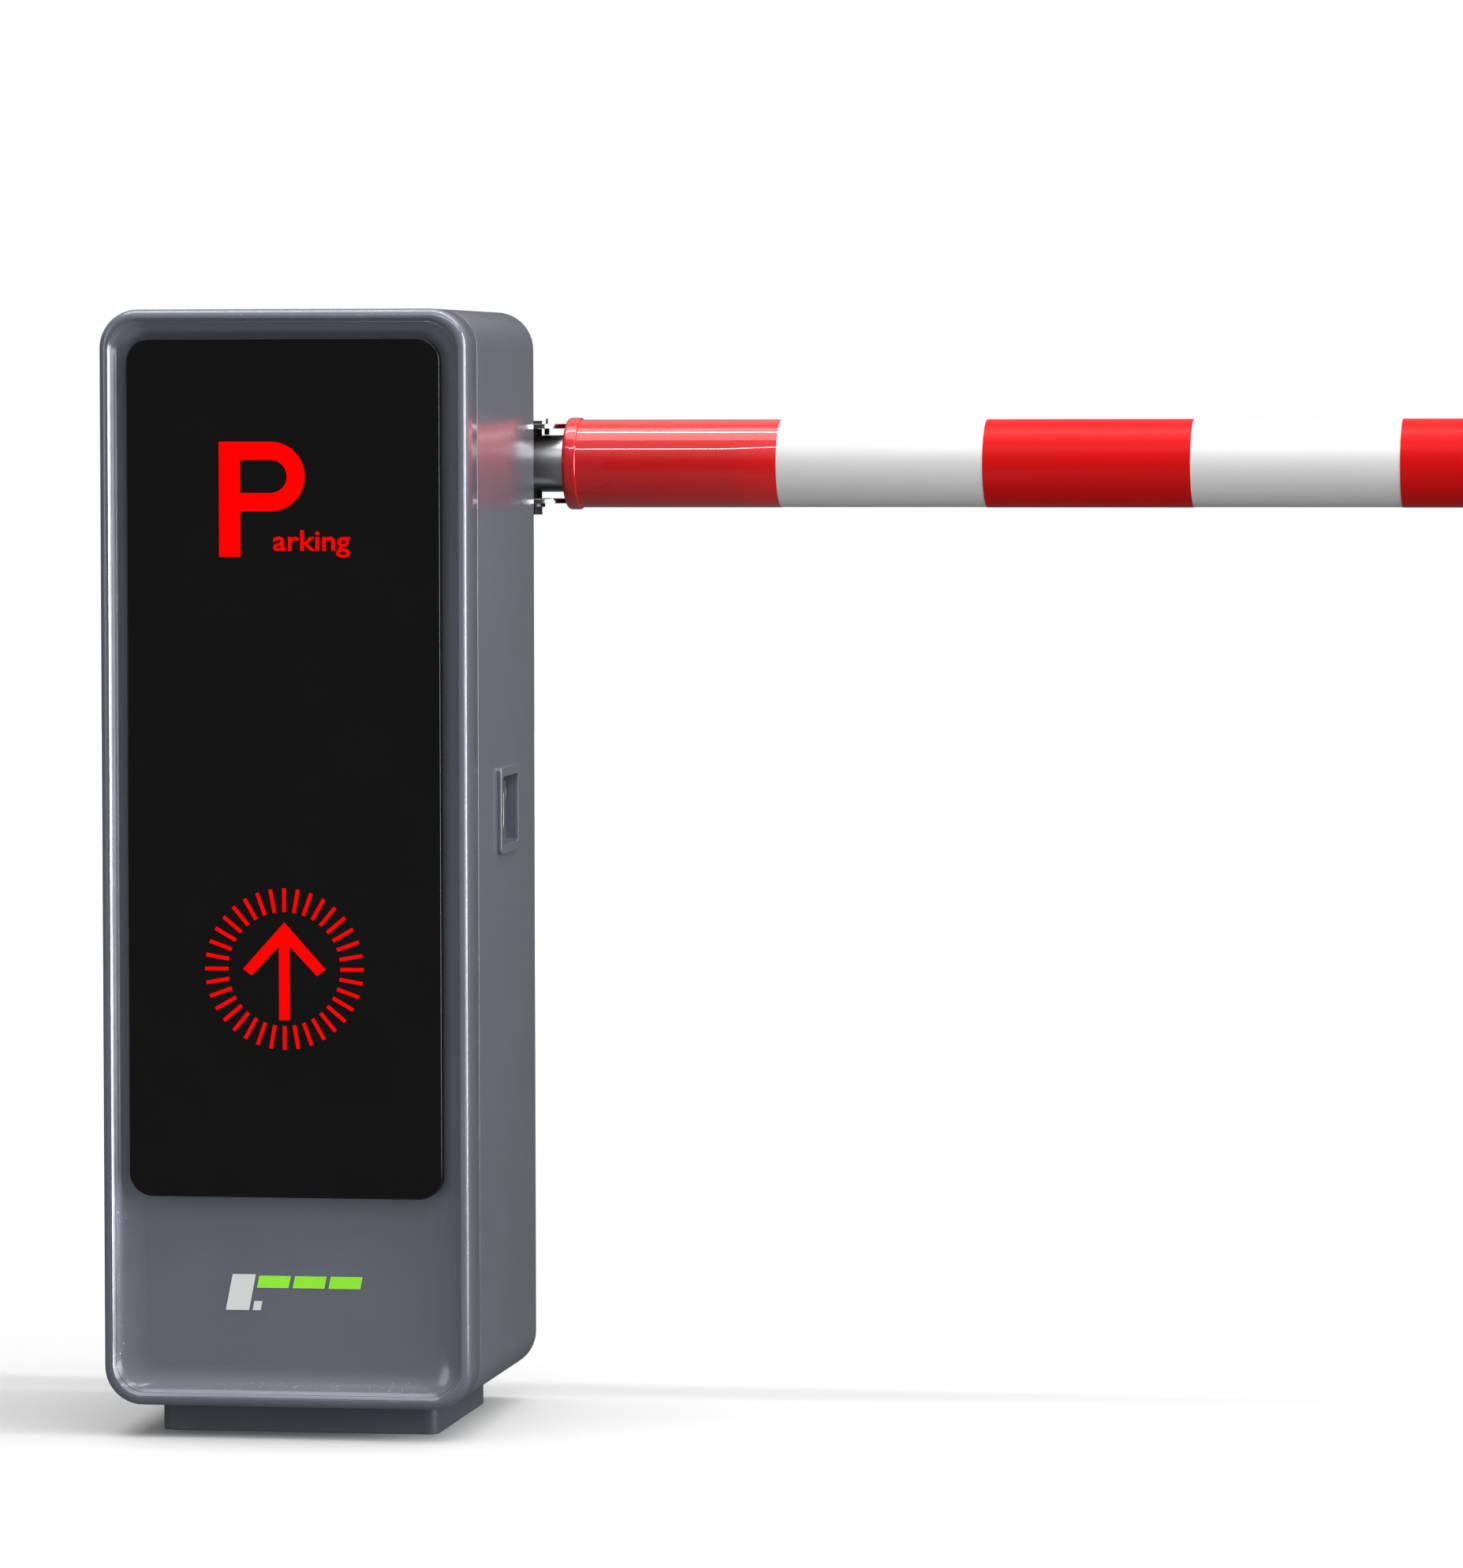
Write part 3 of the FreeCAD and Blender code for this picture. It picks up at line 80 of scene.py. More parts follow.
def grid_mesh(name, points, close_u=False, close_v=False, smooth=True, sharp_angle=32.0):
    """Mesh of a two-parameter surface. points is an array [u, v, xyz]; quads join each point to the next
    along both parameters, and a closed parameter also joins its last row to its first. Edges that turn more
    than the sharp angle stay crisp."""
    rows, columns = points.shape[:2]
    index = np.arange(rows * columns).reshape(rows, columns)
    if close_u:
        index = np.vstack([index, index[:1]])
    if close_v:
        index = np.hstack([index, index[:, :1]])
    quads = np.stack([index[:-1, :-1], index[1:, :-1], index[1:, 1:], index[:-1, 1:]], axis=-1).reshape(-1, 4)
    mesh = bpy.data.meshes.new(name)
    mesh.from_pydata(points.reshape(-1, 3).tolist(), [], quads.tolist())
    mesh.polygons.foreach_set("use_smooth", np.full(len(mesh.polygons), smooth))
    mesh.update()
    mesh.set_sharp_from_angle(angle=math.radians(sharp_angle))
    return mesh


def new_material(name):
    """Returns a fresh material with its node tree and its principled shader."""
    material = bpy.data.materials.new(name)
    material.use_nodes = True
    tree = material.node_tree
    return material, tree, tree.nodes["Principled BSDF"]


def object_coordinates(tree, scale=(1.0, 1.0, 1.0)):
    """Object coordinates through a Mapping node that scales them."""
    source = tree.nodes.new("ShaderNodeTexCoord")
    mapping = tree.nodes.new("ShaderNodeMapping")
    mapping.inputs["Scale"].default_value = scale
    tree.links.new(source.outputs["Object"], mapping.inputs["Vector"])
    return mapping.outputs["Vector"]


def remap(tree, value, low, high, to_low, to_high):
    """Straight-line change of a value from one range to another, held at the ends."""
    node = tree.nodes.new("ShaderNodeMapRange")
    node.inputs["From Min"].default_value = low
    node.inputs["From Max"].default_value = high
    node.inputs["To Min"].default_value = to_low
    node.inputs["To Max"].default_value = to_high
    tree.links.new(value, node.inputs["Value"])
    return node.outputs["Result"]


def vary(tree, shader, socket, value, low, high, to_low, to_high):
    """Sets one of the shader's inputs from a value, changed from one range to another."""
    tree.links.new(remap(tree, value, low, high, to_low, to_high), shader.inputs[socket])


floor_material, tree, shader = new_material("studio_floor")
shader.inputs["Base Color"].default_value = (0.76, 0.76, 0.76, 1.0)
shader.inputs["Roughness"].default_value = 0.55
shader.inputs["Emission Color"].default_value = (1.0, 1.0, 1.0, 1.0)
away = tree.nodes.new("ShaderNodeVectorMath")
away.operation = "LENGTH"
tree.links.new(object_coordinates(tree), away.inputs[0])
fade_start, fade_end, fade_glow = 1.0, 6.0, 0.9
vary(tree, shader, "Emission Strength", away.outputs["Value"], fade_start, fade_end, 0.0, fade_glow)
speckle = tree.nodes.new("ShaderNodeTexNoise")
speckle.inputs["Scale"].default_value = 60.0
floor_bump = tree.nodes.new("ShaderNodeBump")
floor_bump.inputs["Strength"].default_value = 0.02
tree.links.new(speckle.outputs["Fac"], floor_bump.inputs["Height"])
tree.links.new(floor_bump.outputs["Normal"], shader.inputs["Normal"])

floor_middle_x, floor_reach, floor_rings, floor_sides = 1.0, 16.0, 17, 64
radius = np.linspace(0.0001, floor_reach, floor_rings)[None, :]
angle = np.linspace(0.0, 2.0 * math.pi, floor_sides, endpoint=False)[:, None]
disc = np.stack([floor_middle_x + radius * np.cos(angle), radius * np.sin(angle),
                 np.zeros((floor_sides, floor_rings))], axis=-1)
studio_floor = new_object("studio_floor", grid_mesh("studio_floor", disc, close_u=True))
studio_floor.data.flip_normals()
studio_floor.data.materials.append(floor_material)
studio_floor.visible_diffuse = False
studio_floor.visible_glossy = False


def softbox(name, place, aim, width, height, power):
    """Rectangular soft light at place, turned to face aim."""
    data = bpy.data.lights.new(name, "AREA")
    data.shape = "RECTANGLE"
    data.size = width
    data.size_y = height
    data.energy = power
    light = bpy.data.objects.new(name, data)
    bpy.context.scene.collection.objects.link(light)
    direction = Vector(aim) - Vector(place)
    light.matrix_world = Matrix.Translation(place) @ direction.to_track_quat("-Z", "Y").to_matrix().to_4x4()
    return light


softbox("overhead_box", (1.2, -0.2, 5.9), (1.2, 0.0, 0.0), width=9.0, height=4.0, power=244.0)
softbox("overhead_strip", (1.2, 0.25, 5.7), (1.2, 0.25, 0.0), width=9.0, height=0.23, power=132.0)
softbox("front_strip", (1.6, -2.9, 4.0), (0.6, 0.1, 0.7), width=5.0, height=0.15, power=46.0)
softbox("right_strip", (4.2, -0.55, 1.3), (0.0, -0.15, 0.7), width=0.34, height=3.4, power=130.0)
softbox("right_box", (4.6, -1.85, 1.1), (0.0, -0.1, 0.6), width=2.2, height=2.6, power=85.0)
softbox("left_box", (-3.6, -3.4, 1.6), (0.0, 0.0, 0.5), width=1.6, height=2.4, power=24.0)
floor_bounce = softbox("floor_bounce", (-0.1, -1.3, 0.03), (0.0, -0.2, 1.0), width=1.3, height=0.7, power=7.0)
floor_bounce.visible_camera = False
floor_bounce.visible_glossy = False

world = bpy.data.worlds.new("studio")
bpy.context.scene.world = world
world.use_nodes = True
tree = world.node_tree
background = tree.nodes["Background"]
room_brightness = 0.62
background.inputs["Strength"].default_value = room_brightness
where = tree.nodes.new("ShaderNodeTexCoord")
split = tree.nodes.new("ShaderNodeSeparateXYZ")
rise = tree.nodes.new("ShaderNodeMapRange")
rise.inputs["From Min"].default_value = -1.0
rise.inputs["From Max"].default_value = 1.0
room = tree.nodes.new("ShaderNodeValToRGB")
room.color_ramp.elements[0].color = (0.30, 0.30, 0.30, 1.0)
room.color_ramp.elements[1].color = (1.0, 1.0, 1.0, 1.0)
# Heights in the room, from 0 straight down to 1 straight up, each with the grey that is mirrored there.
room_greys = ((0.28, 0.24), (0.42, 0.13), (0.58, 0.17), (0.80, 1.0))
for height, grey in room_greys:
    stop = room.color_ramp.elements.new(height)
    stop.color = (grey, grey, grey, 1.0)
tree.links.new(where.outputs["Generated"], split.inputs["Vector"])
tree.links.new(split.outputs["Z"], rise.inputs["Value"])
tree.links.new(rise.outputs["Result"], room.inputs["Fac"])
tree.links.new(room.outputs["Color"], background.inputs["Color"])
paper = tree.nodes.new("ShaderNodeBackground")
paper.inputs["Color"].default_value = (1.0, 1.0, 1.0, 1.0)
seen = tree.nodes.new("ShaderNodeLightPath")
choice = tree.nodes.new("ShaderNodeMixShader")
tree.links.new(seen.outputs["Is Camera Ray"], choice.inputs["Fac"])
tree.links.new(background.outputs["Background"], choice.inputs[1])
tree.links.new(paper.outputs["Background"], choice.inputs[2])
tree.links.new(choice.outputs["Shader"], tree.nodes["World Output"].inputs["Surface"])
bpy.context.scene.view_settings.view_transform = "Standard"


# ---------------------------------------------------------------- cabinet shell
# Folded and welded steel sheet, 2.5 mm, powder-coated slate grey with a fine metallic flake. The shell,
# the door and the latch frame are coated in one batch, so they share this finish.
def noise(tree, vector, scale, detail=3.0, roughness=0.5):
    """Noise texture over the given coordinates, in cells per metre."""
    texture = tree.nodes.new("ShaderNodeTexNoise")
    texture.inputs["Scale"].default_value = scale
    texture.inputs["Detail"].default_value = detail
    texture.inputs["Roughness"].default_value = roughness
    tree.links.new(vector, texture.inputs["Vector"])
    return texture.outputs["Fac"]


def blend_colours(tree, factor, first, second):
    """Mix of two colours, each given as numbers or as another node's output."""
    node = tree.nodes.new("ShaderNodeMix")
    node.data_type = "RGBA"
    tree.links.new(factor, node.inputs["Factor"])
    for socket, colour in ((node.inputs["A"], first), (node.inputs["B"], second)):
        if isinstance(colour, tuple):
            socket.default_value = colour + (1.0,)
        else:
            tree.links.new(colour, socket)
    return node.outputs["Result"]


def tint(tree, shader, factor, first, second):
    """Colours the shader with a mix of two colours."""
    tree.links.new(blend_colours(tree, factor, first, second), shader.inputs["Base Color"])


def bump(tree, height, strength, distance):
    """Bump from a height value."""
    node = tree.nodes.new("ShaderNodeBump")
    node.inputs["Strength"].default_value = strength
    node.inputs["Distance"].default_value = distance
    tree.links.new(height, node.inputs["Height"])
    return node.outputs["Normal"]


def powder_coat(name, colour, flake_share=0.03, flake_size=0.0006, roughness=0.22):
    """Powder coat: a slightly uneven colour, a fine orange-peel surface, and small bright flakes. A flake is
    a cell of a Voronoi pattern whose random value passes a threshold; it is metallic, and its normal leans
    by its own random amount, so a few flash wherever a light grazes the surface."""
    material, tree, shader = new_material(name)
    vector = object_coordinates(tree)
    cells = tree.nodes.new("ShaderNodeTexVoronoi")
    cells.inputs["Scale"].default_value = 1.0 / flake_size
    tree.links.new(vector, cells.inputs["Vector"])
    parts = tree.nodes.new("ShaderNodeSeparateColor")
    tree.links.new(cells.outputs["Color"], parts.inputs["Color"])
    flake = tree.nodes.new("ShaderNodeMath")
    flake.operation = "GREATER_THAN"
    flake.inputs[1].default_value = 1.0 - flake_share
    tree.links.new(parts.outputs["Red"], flake.inputs[0])

    cloud = noise(tree, vector, 7.0, 4.0)
    shade = remap(tree, cloud, 0.3, 0.7, 0.0, 1.0)
    light = tuple(min(1.0, 1.06 * c) for c in colour)
    dark = tuple(0.94 * c for c in colour)
    coat = blend_colours(tree, shade, dark, light)
    bright = tuple(min(1.0, 0.03 + 1.2 * c) for c in colour)
    tint(tree, shader, flake.outputs["Value"], coat, bright)
    vary(tree, shader, "Metallic", flake.outputs["Value"], 0.0, 1.0, 0.25, 0.6)
    vary(tree, shader, "Roughness", noise(tree, vector, 40.0), 0.3, 0.7, roughness - 0.03, roughness + 0.04)
    shader.inputs["Coat Weight"].default_value = 0.3
    shader.inputs["Coat Roughness"].default_value = 0.10

    lean = tree.nodes.new("ShaderNodeVectorMath")
    lean.operation = "SUBTRACT"
    lean.inputs[1].default_value = (0.5, 0.5, 0.5)
    tree.links.new(cells.outputs["Color"], lean.inputs[0])
    amount = tree.nodes.new("ShaderNodeVectorMath")
    amount.operation = "SCALE"
    tree.links.new(lean.outputs["Vector"], amount.inputs[0])
    tree.links.new(remap(tree, flake.outputs["Value"], 0.0, 1.0, 0.0, 0.22), amount.inputs["Scale"])
    surface = bump(tree, noise(tree, vector, 900.0, 2.0), 0.02, 0.0001)
    add = tree.nodes.new("ShaderNodeVectorMath")
    tree.links.new(surface, add.inputs[0])
    tree.links.new(amount.outputs["Vector"], add.inputs[1])
    level = tree.nodes.new("ShaderNodeVectorMath")
    level.operation = "NORMALIZE"
    tree.links.new(add.outputs["Vector"], level.inputs[0])
    tree.links.new(level.outputs["Vector"], shader.inputs["Normal"])
    return material


def finish_nodes(material, *names):
    """Gives CAD nodes that keep their shape their own finish."""
    for name in names:
        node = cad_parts[name]
        node.data.materials.clear()
        node.data.materials.append(material)


def dress(piece, material, body, slot, *nodes):
    """Gives a finished piece its material and its body; the slot is not used. It stands in for the CAD nodes
    named.
    """
    piece.data.materials.clear()
    piece.data.materials.append(material)
    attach(piece, body)
    for node in nodes:
        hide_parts(node)
    return piece


def eased_copy(node, edge, material, body, slot):
    """Stands in for a CAD part: its triangles are joined back into whole faces, and a Bevel modifier rounds
    each edge that turns more than the crease angle by the given radius."""
    crease, flat = math.radians(35.0), math.radians(0.8)
    shape = bmesh.new()
    shape.from_mesh(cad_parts[node].data)
    bmesh.ops.remove_doubles(shape, verts=shape.verts, dist=0.00001)
    bmesh.ops.dissolve_limit(shape, angle_limit=flat, verts=shape.verts, edges=shape.edges)
    shape.verts.index_update()
    points = [tuple(v.co) for v in shape.verts]
    faces = [[v.index for v in f.verts] for f in shape.faces]
    shape.free()
    mesh = bpy.data.meshes.new(node + "_eased")
    mesh.from_pydata(points, [], faces)
    mesh.polygons.foreach_set("use_smooth", np.ones(len(mesh.polygons), bool))
    mesh.update()
    mesh.set_sharp_from_angle(angle=crease)
    piece = new_object(node + "_eased", mesh)
    easing = piece.modifiers.new("eased_edges", "BEVEL")
    easing.width = edge
    easing.segments = 2
    easing.limit_method = "ANGLE"
    easing.angle_limit = crease
    easing.harden_normals = True
    return dress(piece, material, body, slot, node)


slate = (0.158, 0.169, 0.208)
slate_coat = powder_coat("slate_powder_coat", slate)
eased_copy("cabinet_shell", 0.0009, slate_coat, "cabinet", "cabinet_paint")
eased_copy("shaft_cover_ring", 0.0006, slate_coat, "cabinet", "cabinet_paint")
shell_low, shell_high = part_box("cabinet_shell")
half_width = shell_high.x
body_bottom, body_top = shell_low.z, shell_high.z
body_middle = (body_bottom + body_top) / 2.0
half_height = (body_top - body_bottom) / 2.0
corner_radius = 0.036


# ---------------------------------------------------------------- base
# A bent steel plinth set in under the cabinet, round a thick galvanised anchor plate that
# lies on the foundation and is hidden once the cabinet stands. The plinth's coat is the cabinet's slate
# darkened to stand for the shade under the cabinet's overhang: painted shade.
def dusty_coat(name, colour, roughness=0.42):
    """Satin coat that is paler and rougher near the ground, where grit and splashes dry on it."""
    material, tree, shader = new_material(name)
    vector = object_coordinates(tree)
    place = tree.nodes.new("ShaderNodeSeparateXYZ")
    tree.links.new(vector, place.inputs["Vector"])
    low = remap(tree, place.outputs["Z"], 0.0, 0.02, 1.0, 0.0)
    grit = tree.nodes.new("ShaderNodeMath")
    grit.operation = "MULTIPLY"
    tree.links.new(low, grit.inputs[0])
    tree.links.new(remap(tree, noise(tree, vector, 90.0, 6.0, 0.65), 0.4, 0.75, 0.0, 0.35), grit.inputs[1])
    dust = tuple(0.5 * c + 0.09 for c in colour)
    tint(tree, shader, grit.outputs["Value"], colour, dust)
    vary(tree, shader, "Roughness", grit.outputs["Value"], 0.0, 0.3, roughness, roughness + 0.25)
    tree.links.new(bump(tree, noise(tree, vector, 700.0, 2.0), 0.12, 0.0002), shader.inputs["Normal"])
    return material


def galvanised(name, colour=(0.50, 0.51, 0.52), spangle=0.006):
    """Zinc coating: crystal patches a centimetre across, each a little lighter or darker and smoother."""
    material, tree, shader = new_material(name)
    vector = object_coordinates(tree)
    crystals = tree.nodes.new("ShaderNodeTexVoronoi")
    crystals.inputs["Scale"].default_value = 1.0 / spangle
    tree.links.new(vector, crystals.inputs["Vector"])
    parts = tree.nodes.new("ShaderNodeSeparateColor")
    tree.links.new(crystals.outputs["Color"], parts.inputs["Color"])
    dark = tuple(0.9 * c for c in colour)
    tint(tree, shader, parts.outputs["Red"], dark, colour)
    vary(tree, shader, "Roughness", parts.outputs["Green"], 0.0, 1.0, 0.38, 0.48)
    shader.inputs["Metallic"].default_value = 0.9
    tree.links.new(bump(tree, noise(tree, vector, 260.0, 4.0), 0.08, 0.0003), shader.inputs["Normal"])
    return material


# The plinth's colour is a darkened copy of the slate coat, painted shade for the shadow under the overhang.
plinth_coat_painted_shade = dusty_coat("plinth_coat_painted_shade", (0.062, 0.067, 0.082))
eased_copy("plinth", 0.0008, plinth_coat_painted_shade, "cabinet", "plinth_paint")
zinc_sheet = galvanised("zinc_sheet")
finish_nodes(zinc_sheet, "base_plate", "chassis_floor", "chassis_front_plate", "chassis_rear_plate",
             "tie_and_stop_bars", "spring_anchor_bar")


# ---------------------------------------------------------------- bolts, hinges and plated steel
# Bolts, nuts, pins, hinge straps, door hooks and the latch bar are mild steel, zinc-plated: bright and a
# little blue, with cloudy patches from the bath. Pressed and sawn edges are broken by a file.
def plated_steel(name, colour=(0.62, 0.64, 0.67), roughness=0.3):
    """Zinc plating: a metal whose brightness and smoothness drift in soft clouds a few millimetres across."""
    material, tree, shader = new_material(name)
    vector = object_coordinates(tree)
    cloud = noise(tree, vector, 55.0, 4.0, 0.6)
    dull = tuple(0.72 * c for c in colour)
    tint(tree, shader, remap(tree, cloud, 0.35, 0.7, 0.0, 1.0), colour, dull)
    vary(tree, shader, "Roughness", cloud, 0.3, 0.7, roughness - 0.06, roughness + 0.12)
    shader.inputs["Metallic"].default_value = 1.0
    tree.links.new(bump(tree, noise(tree, vector, 1200.0, 2.0), 0.06, 0.0001), shader.inputs["Normal"])
    return material


bright_zinc = plated_steel("bright_zinc")
finish_nodes(bright_zinc, "frame_bolts", "hinge_pins", "latch_bar", "spring_eye_bolts", "lever_pins")
eased_copy("hinge_brackets", 0.0004, bright_zinc, "cabinet", "zinc_hardware")
eased_copy("hinge_necks", 0.0004, bright_zinc, "door", "zinc_hardware")
eased_copy("door_hooks", 0.0004, bright_zinc, "door", "zinc_hardware")


# ---------------------------------------------------------------- shaft, bearings, lever and linkage
# The shafts are turned and ground, the lever, crank and rod flame-cut plate with milled faces, the bearings
# hardened rings in cast housings. All of it is lightly oiled.
def worked_steel(name, colour, roughness, stretch, marks=0.35):
    """Machined steel: fine tool marks that run one way. stretch scales the pattern along X, Y and Z, so the
    axis with the small number is the way the tool ran."""
    material, tree, shader = new_material(name)
    lines = noise(tree, object_coordinates(tree, stretch), 20.0, 4.0, 0.6)
    dark = tuple(0.8 * c for c in colour)
    tint(tree, shader, lines, dark, colour)
    oil = noise(tree, object_coordinates(tree), 18.0, 3.0)
    vary(tree, shader, "Roughness", oil, 0.3, 0.7, roughness - 0.05, roughness + 0.1)
    shader.inputs["Metallic"].default_value = 1.0
    tree.links.new(bump(tree, lines, marks, 0.00006), shader.inputs["Normal"])
    return material


def sand_casting(name, colour, metallic=0.0, roughness=0.55):
    """Painted casting: a coarse grain from the mould's sand under an even coat, chipped a little darker."""
    material, tree, shader = new_material(name)
    vector = object_coordinates(tree)
    grain = noise(tree, vector, 420.0, 5.0, 0.6)
    patch = noise(tree, vector, 24.0, 4.0)
    dark = tuple(0.78 * c for c in colour)
    tint(tree, shader, remap(tree, patch, 0.4, 0.75, 0.0, 1.0), colour, dark)
    shader.inputs["Metallic"].default_value = metallic
    vary(tree, shader, "Roughness", patch, 0.3, 0.7, roughness - 0.06, roughness + 0.08)
    tree.links.new(bump(tree, grain, 0.35, 0.0004), shader.inputs["Normal"])
    return material


ground_steel = worked_steel("ground_steel", (0.56, 0.56, 0.57), 0.2, (60.0, 2.0, 60.0))
milled_steel = worked_steel("milled_steel", (0.44, 0.44, 0.45), 0.33, (8.0, 30.0, 60.0))
hardened_steel = worked_steel("hardened_steel", (0.66, 0.66, 0.67), 0.14, (40.0, 6.0, 40.0), 0.15)
bronze = worked_steel("bronze", (0.55, 0.36, 0.16), 0.3, (50.0, 4.0, 50.0))
cast_grey = sand_casting("cast_grey", (0.20, 0.21, 0.22), 0.2)
finish_nodes(ground_steel, "main_shaft", "output_shaft")
finish_nodes(hardened_steel, "bearing_inner_rings", "bearing_outer_rings")
finish_nodes(bronze, "rod_bushes")
finish_nodes(cast_grey, "bearing_housings")
for node, body in (("shaft_lever", "lifter"), ("crank_arm", "crank"), ("connecting_rod", "link")):
    eased_copy(node, 0.0006, milled_steel, body, "machined_steel")


# ---------------------------------------------------------------- moulded and rubber small parts
# Stop buffers of black rubber; guides, limit switch discs, switches, bushes, spacers and the boom's end cap
# of black nylon with a fine spark-eroded texture.
def moulded(name, colour, roughness=0.45, grain=0.12, size=900.0):
    """Moulded plastic or rubber: an even colour with a trace of flow marks, over a fine mould texture."""
    material, tree, shader = new_material(name)
    vector = object_coordinates(tree)
    flow = noise(tree, vector, 30.0, 3.0)
    pale = tuple(min(1.0, 1.12 * c + 0.002) for c in colour)
    tint(tree, shader, flow, colour, pale)
    vary(tree, shader, "Roughness", flow, 0.3, 0.7, roughness - 0.04, roughness + 0.06)
    tree.links.new(bump(tree, noise(tree, vector, size, 2.0), grain, 0.00015), shader.inputs["Normal"])
    return material


black_nylon = moulded("black_nylon", (0.018, 0.018, 0.019), 0.4)
buffer_rubber = moulded("buffer_rubber", (0.012, 0.012, 0.012), 0.7, 0.2, 500.0)
finish_nodes(buffer_rubber, "stop_buffers")
finish_nodes(black_nylon, "latch_guides", "cam_discs", "limit_switches", "root_bushes", "boom_tip_cap")
eased_copy("pivot_spacers", 0.0005, black_nylon, "boom", "black_nylon")


# ---------------------------------------------------------------- balance springs
# Two close-wound tension springs of oiled carbon steel wire between the lever's pin and the eye bolts. Each
# end's last turn is bent in and up into an eye.
def closed_skin(mesh):
    """Merges points that lie together, such as a pole's whole ring, and turns the faces outwards."""
    shape = bmesh.new()
    shape.from_mesh(mesh)
    bmesh.ops.remove_doubles(shape, verts=shape.verts, dist=0.000001)
    bmesh.ops.dissolve_degenerate(shape, edges=shape.edges, dist=0.000001)
    bmesh.ops.recalc_face_normals(shape, faces=shape.faces)
    shape.to_mesh(mesh)
    shape.free()
    return mesh


def with_ends(mesh, ends, smooth):
    """Adds end faces, each a list of the mesh's own points, and returns the whole as a new mesh."""
    vertices = [tuple(v.co) for v in mesh.vertices]
    faces = [tuple(p.vertices) for p in mesh.polygons] + [tuple(end) for end in ends]
    shading = np.ones(len(faces), bool)
    shading[-len(ends):] = smooth
    whole = bpy.data.meshes.new(mesh.name)
    whole.from_pydata(vertices, [], faces)
    whole.polygons.foreach_set("use_smooth", shading)
    whole.update()
    bpy.data.meshes.remove(mesh)
    return whole


def wire(name, path, radius, across, around=8):
    """Round wire along a path of points: a circle of the wire's radius carried along it. across is a
    direction that the path never runs along, from which each circle's own two axes are worked out."""
    along = np.gradient(path, axis=0)
    along /= np.linalg.norm(along, axis=1, keepdims=True)
    first = np.cross(np.asarray(across, float), along)
    first /= np.linalg.norm(first, axis=1, keepdims=True)
    second = np.cross(along, first)
    angle = np.linspace(0.0, 2.0 * math.pi, around, endpoint=False)[None, :, None]
    points = path[:, None] + radius * (np.cos(angle) * first[:, None] + np.sin(angle) * second[:, None])
    mesh = grid_mesh(name, points, close_v=True, sharp_angle=60.0)
    rows = len(path)
    ends = [list(range(around))[::-1], list(range((rows - 1) * around, rows * around))]
    return closed_skin(with_ends(mesh, ends, True))


spring_steel = worked_steel("spring_steel", (0.30, 0.30, 0.31), 0.28, (30.0, 30.0, 90.0), 0.2)
springs_low, springs_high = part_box("balance_springs")
spring_wire_radius = 0.00175
spring_outer = 0.017
spring_x = springs_low.x + spring_outer
eye_wire, eye_radius = 0.0025, 0.010
eye_low = springs_low.z + eye_radius + eye_wire
eye_high = springs_high.z - eye_radius - eye_wire
foot_hook, top_hook = 0.024, 0.034
coil_low, coil_high = eye_low + foot_hook, eye_high - top_hook
turns, steps_per_turn = 118, 20
hook_wire_radius, hook_rise, neck_rise, neck_gap = 0.0021, 0.010, 0.008, 0.001
eye_start, eye_end = -78.0, 240.0
# With the boom up the springs keep this share of their height. Their top eyes hang this much lower than a
# circle, so that the shortened eye still clears the pin.
spring_keep, eye_drop = 0.822, 1.3
mean = spring_outer - spring_wire_radius
for k, spring_y in enumerate((springs_low.y + spring_outer, springs_high.y - spring_outer)):
    s = np.linspace(0.0, 1.0, turns * steps_per_turn + 1)
    swing = math.pi + 2.0 * math.pi * turns * s
    helix = np.stack([spring_x + mean * np.cos(swing), spring_y + mean * np.sin(swing),
                      coil_low + (coil_high - coil_low) * s], axis=-1)
    coil_mesh = wire("spring_coil", helix, spring_wire_radius, (0, 0, 1))
    pieces = [new_object("spring_coil_%d" % (k + 1), coil_mesh)]
    for end, eye_z, coil_z, sign, drop in (("top", eye_high, coil_high, 1.0, eye_drop),
                                           ("foot", eye_low, coil_low, -1.0, 1.0)):
        t = np.linspace(0.0, 1.0, 14)[:, None]
        neck_z = eye_z - sign * (eye_radius * drop + neck_gap)
        hook = [np.array([-mean, coil_z]), np.array([-mean, coil_z + sign * hook_rise]),
                np.array([0.0, neck_z - sign * neck_rise]), np.array([0.0, neck_z])]
        bend = ((1 - t) ** 3 * hook[0] + 3 * (1 - t) ** 2 * t * hook[1] + 3 * (1 - t) * t ** 2 * hook[2]
                + t ** 3 * hook[3])
        sweep = np.radians(np.linspace(eye_start, eye_end, 40))
        rise = eye_radius * np.sin(sweep)
        rise = np.where(rise < 0.0, rise * drop, rise)
        ring = np.stack([eye_radius * np.cos(sweep), eye_z + sign * rise], axis=-1)
        flat = np.vstack([bend, ring])
        hook_path = np.stack([spring_x + flat[:, 0], np.full(len(flat), spring_y), flat[:, 1]], axis=-1)
        name = "spring_%s_eye_%d" % (end, k + 1)
        pieces.append(new_object(name, wire(name, hook_path, hook_wire_radius, (0, 1, 0), 12)))
    for piece in pieces:
        dress(piece, spring_steel, "cabinet", "spring_steel")
        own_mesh(piece)
    if k == 0:
        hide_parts("balance_springs")


# ---------------------------------------------------------------- gearbox and motor
# A worm gearbox in a cast, silver-painted housing with a bolted cover, and under it a finned motor in dark
# blue enamel. The motor's lower end is a fan cover with ring-shaped air slots, its side a terminal box.
silver_casting = sand_casting("silver_casting", (0.46, 0.47, 0.48), 0.5, 0.42)
motor_enamel = sand_casting("motor_enamel", (0.030, 0.055, 0.11), 0.0, 0.38)
eased_copy("gearbox_housing", 0.002, silver_casting, "cabinet", "cast_housing")
finish_nodes(silver_casting, "gearbox_cover")

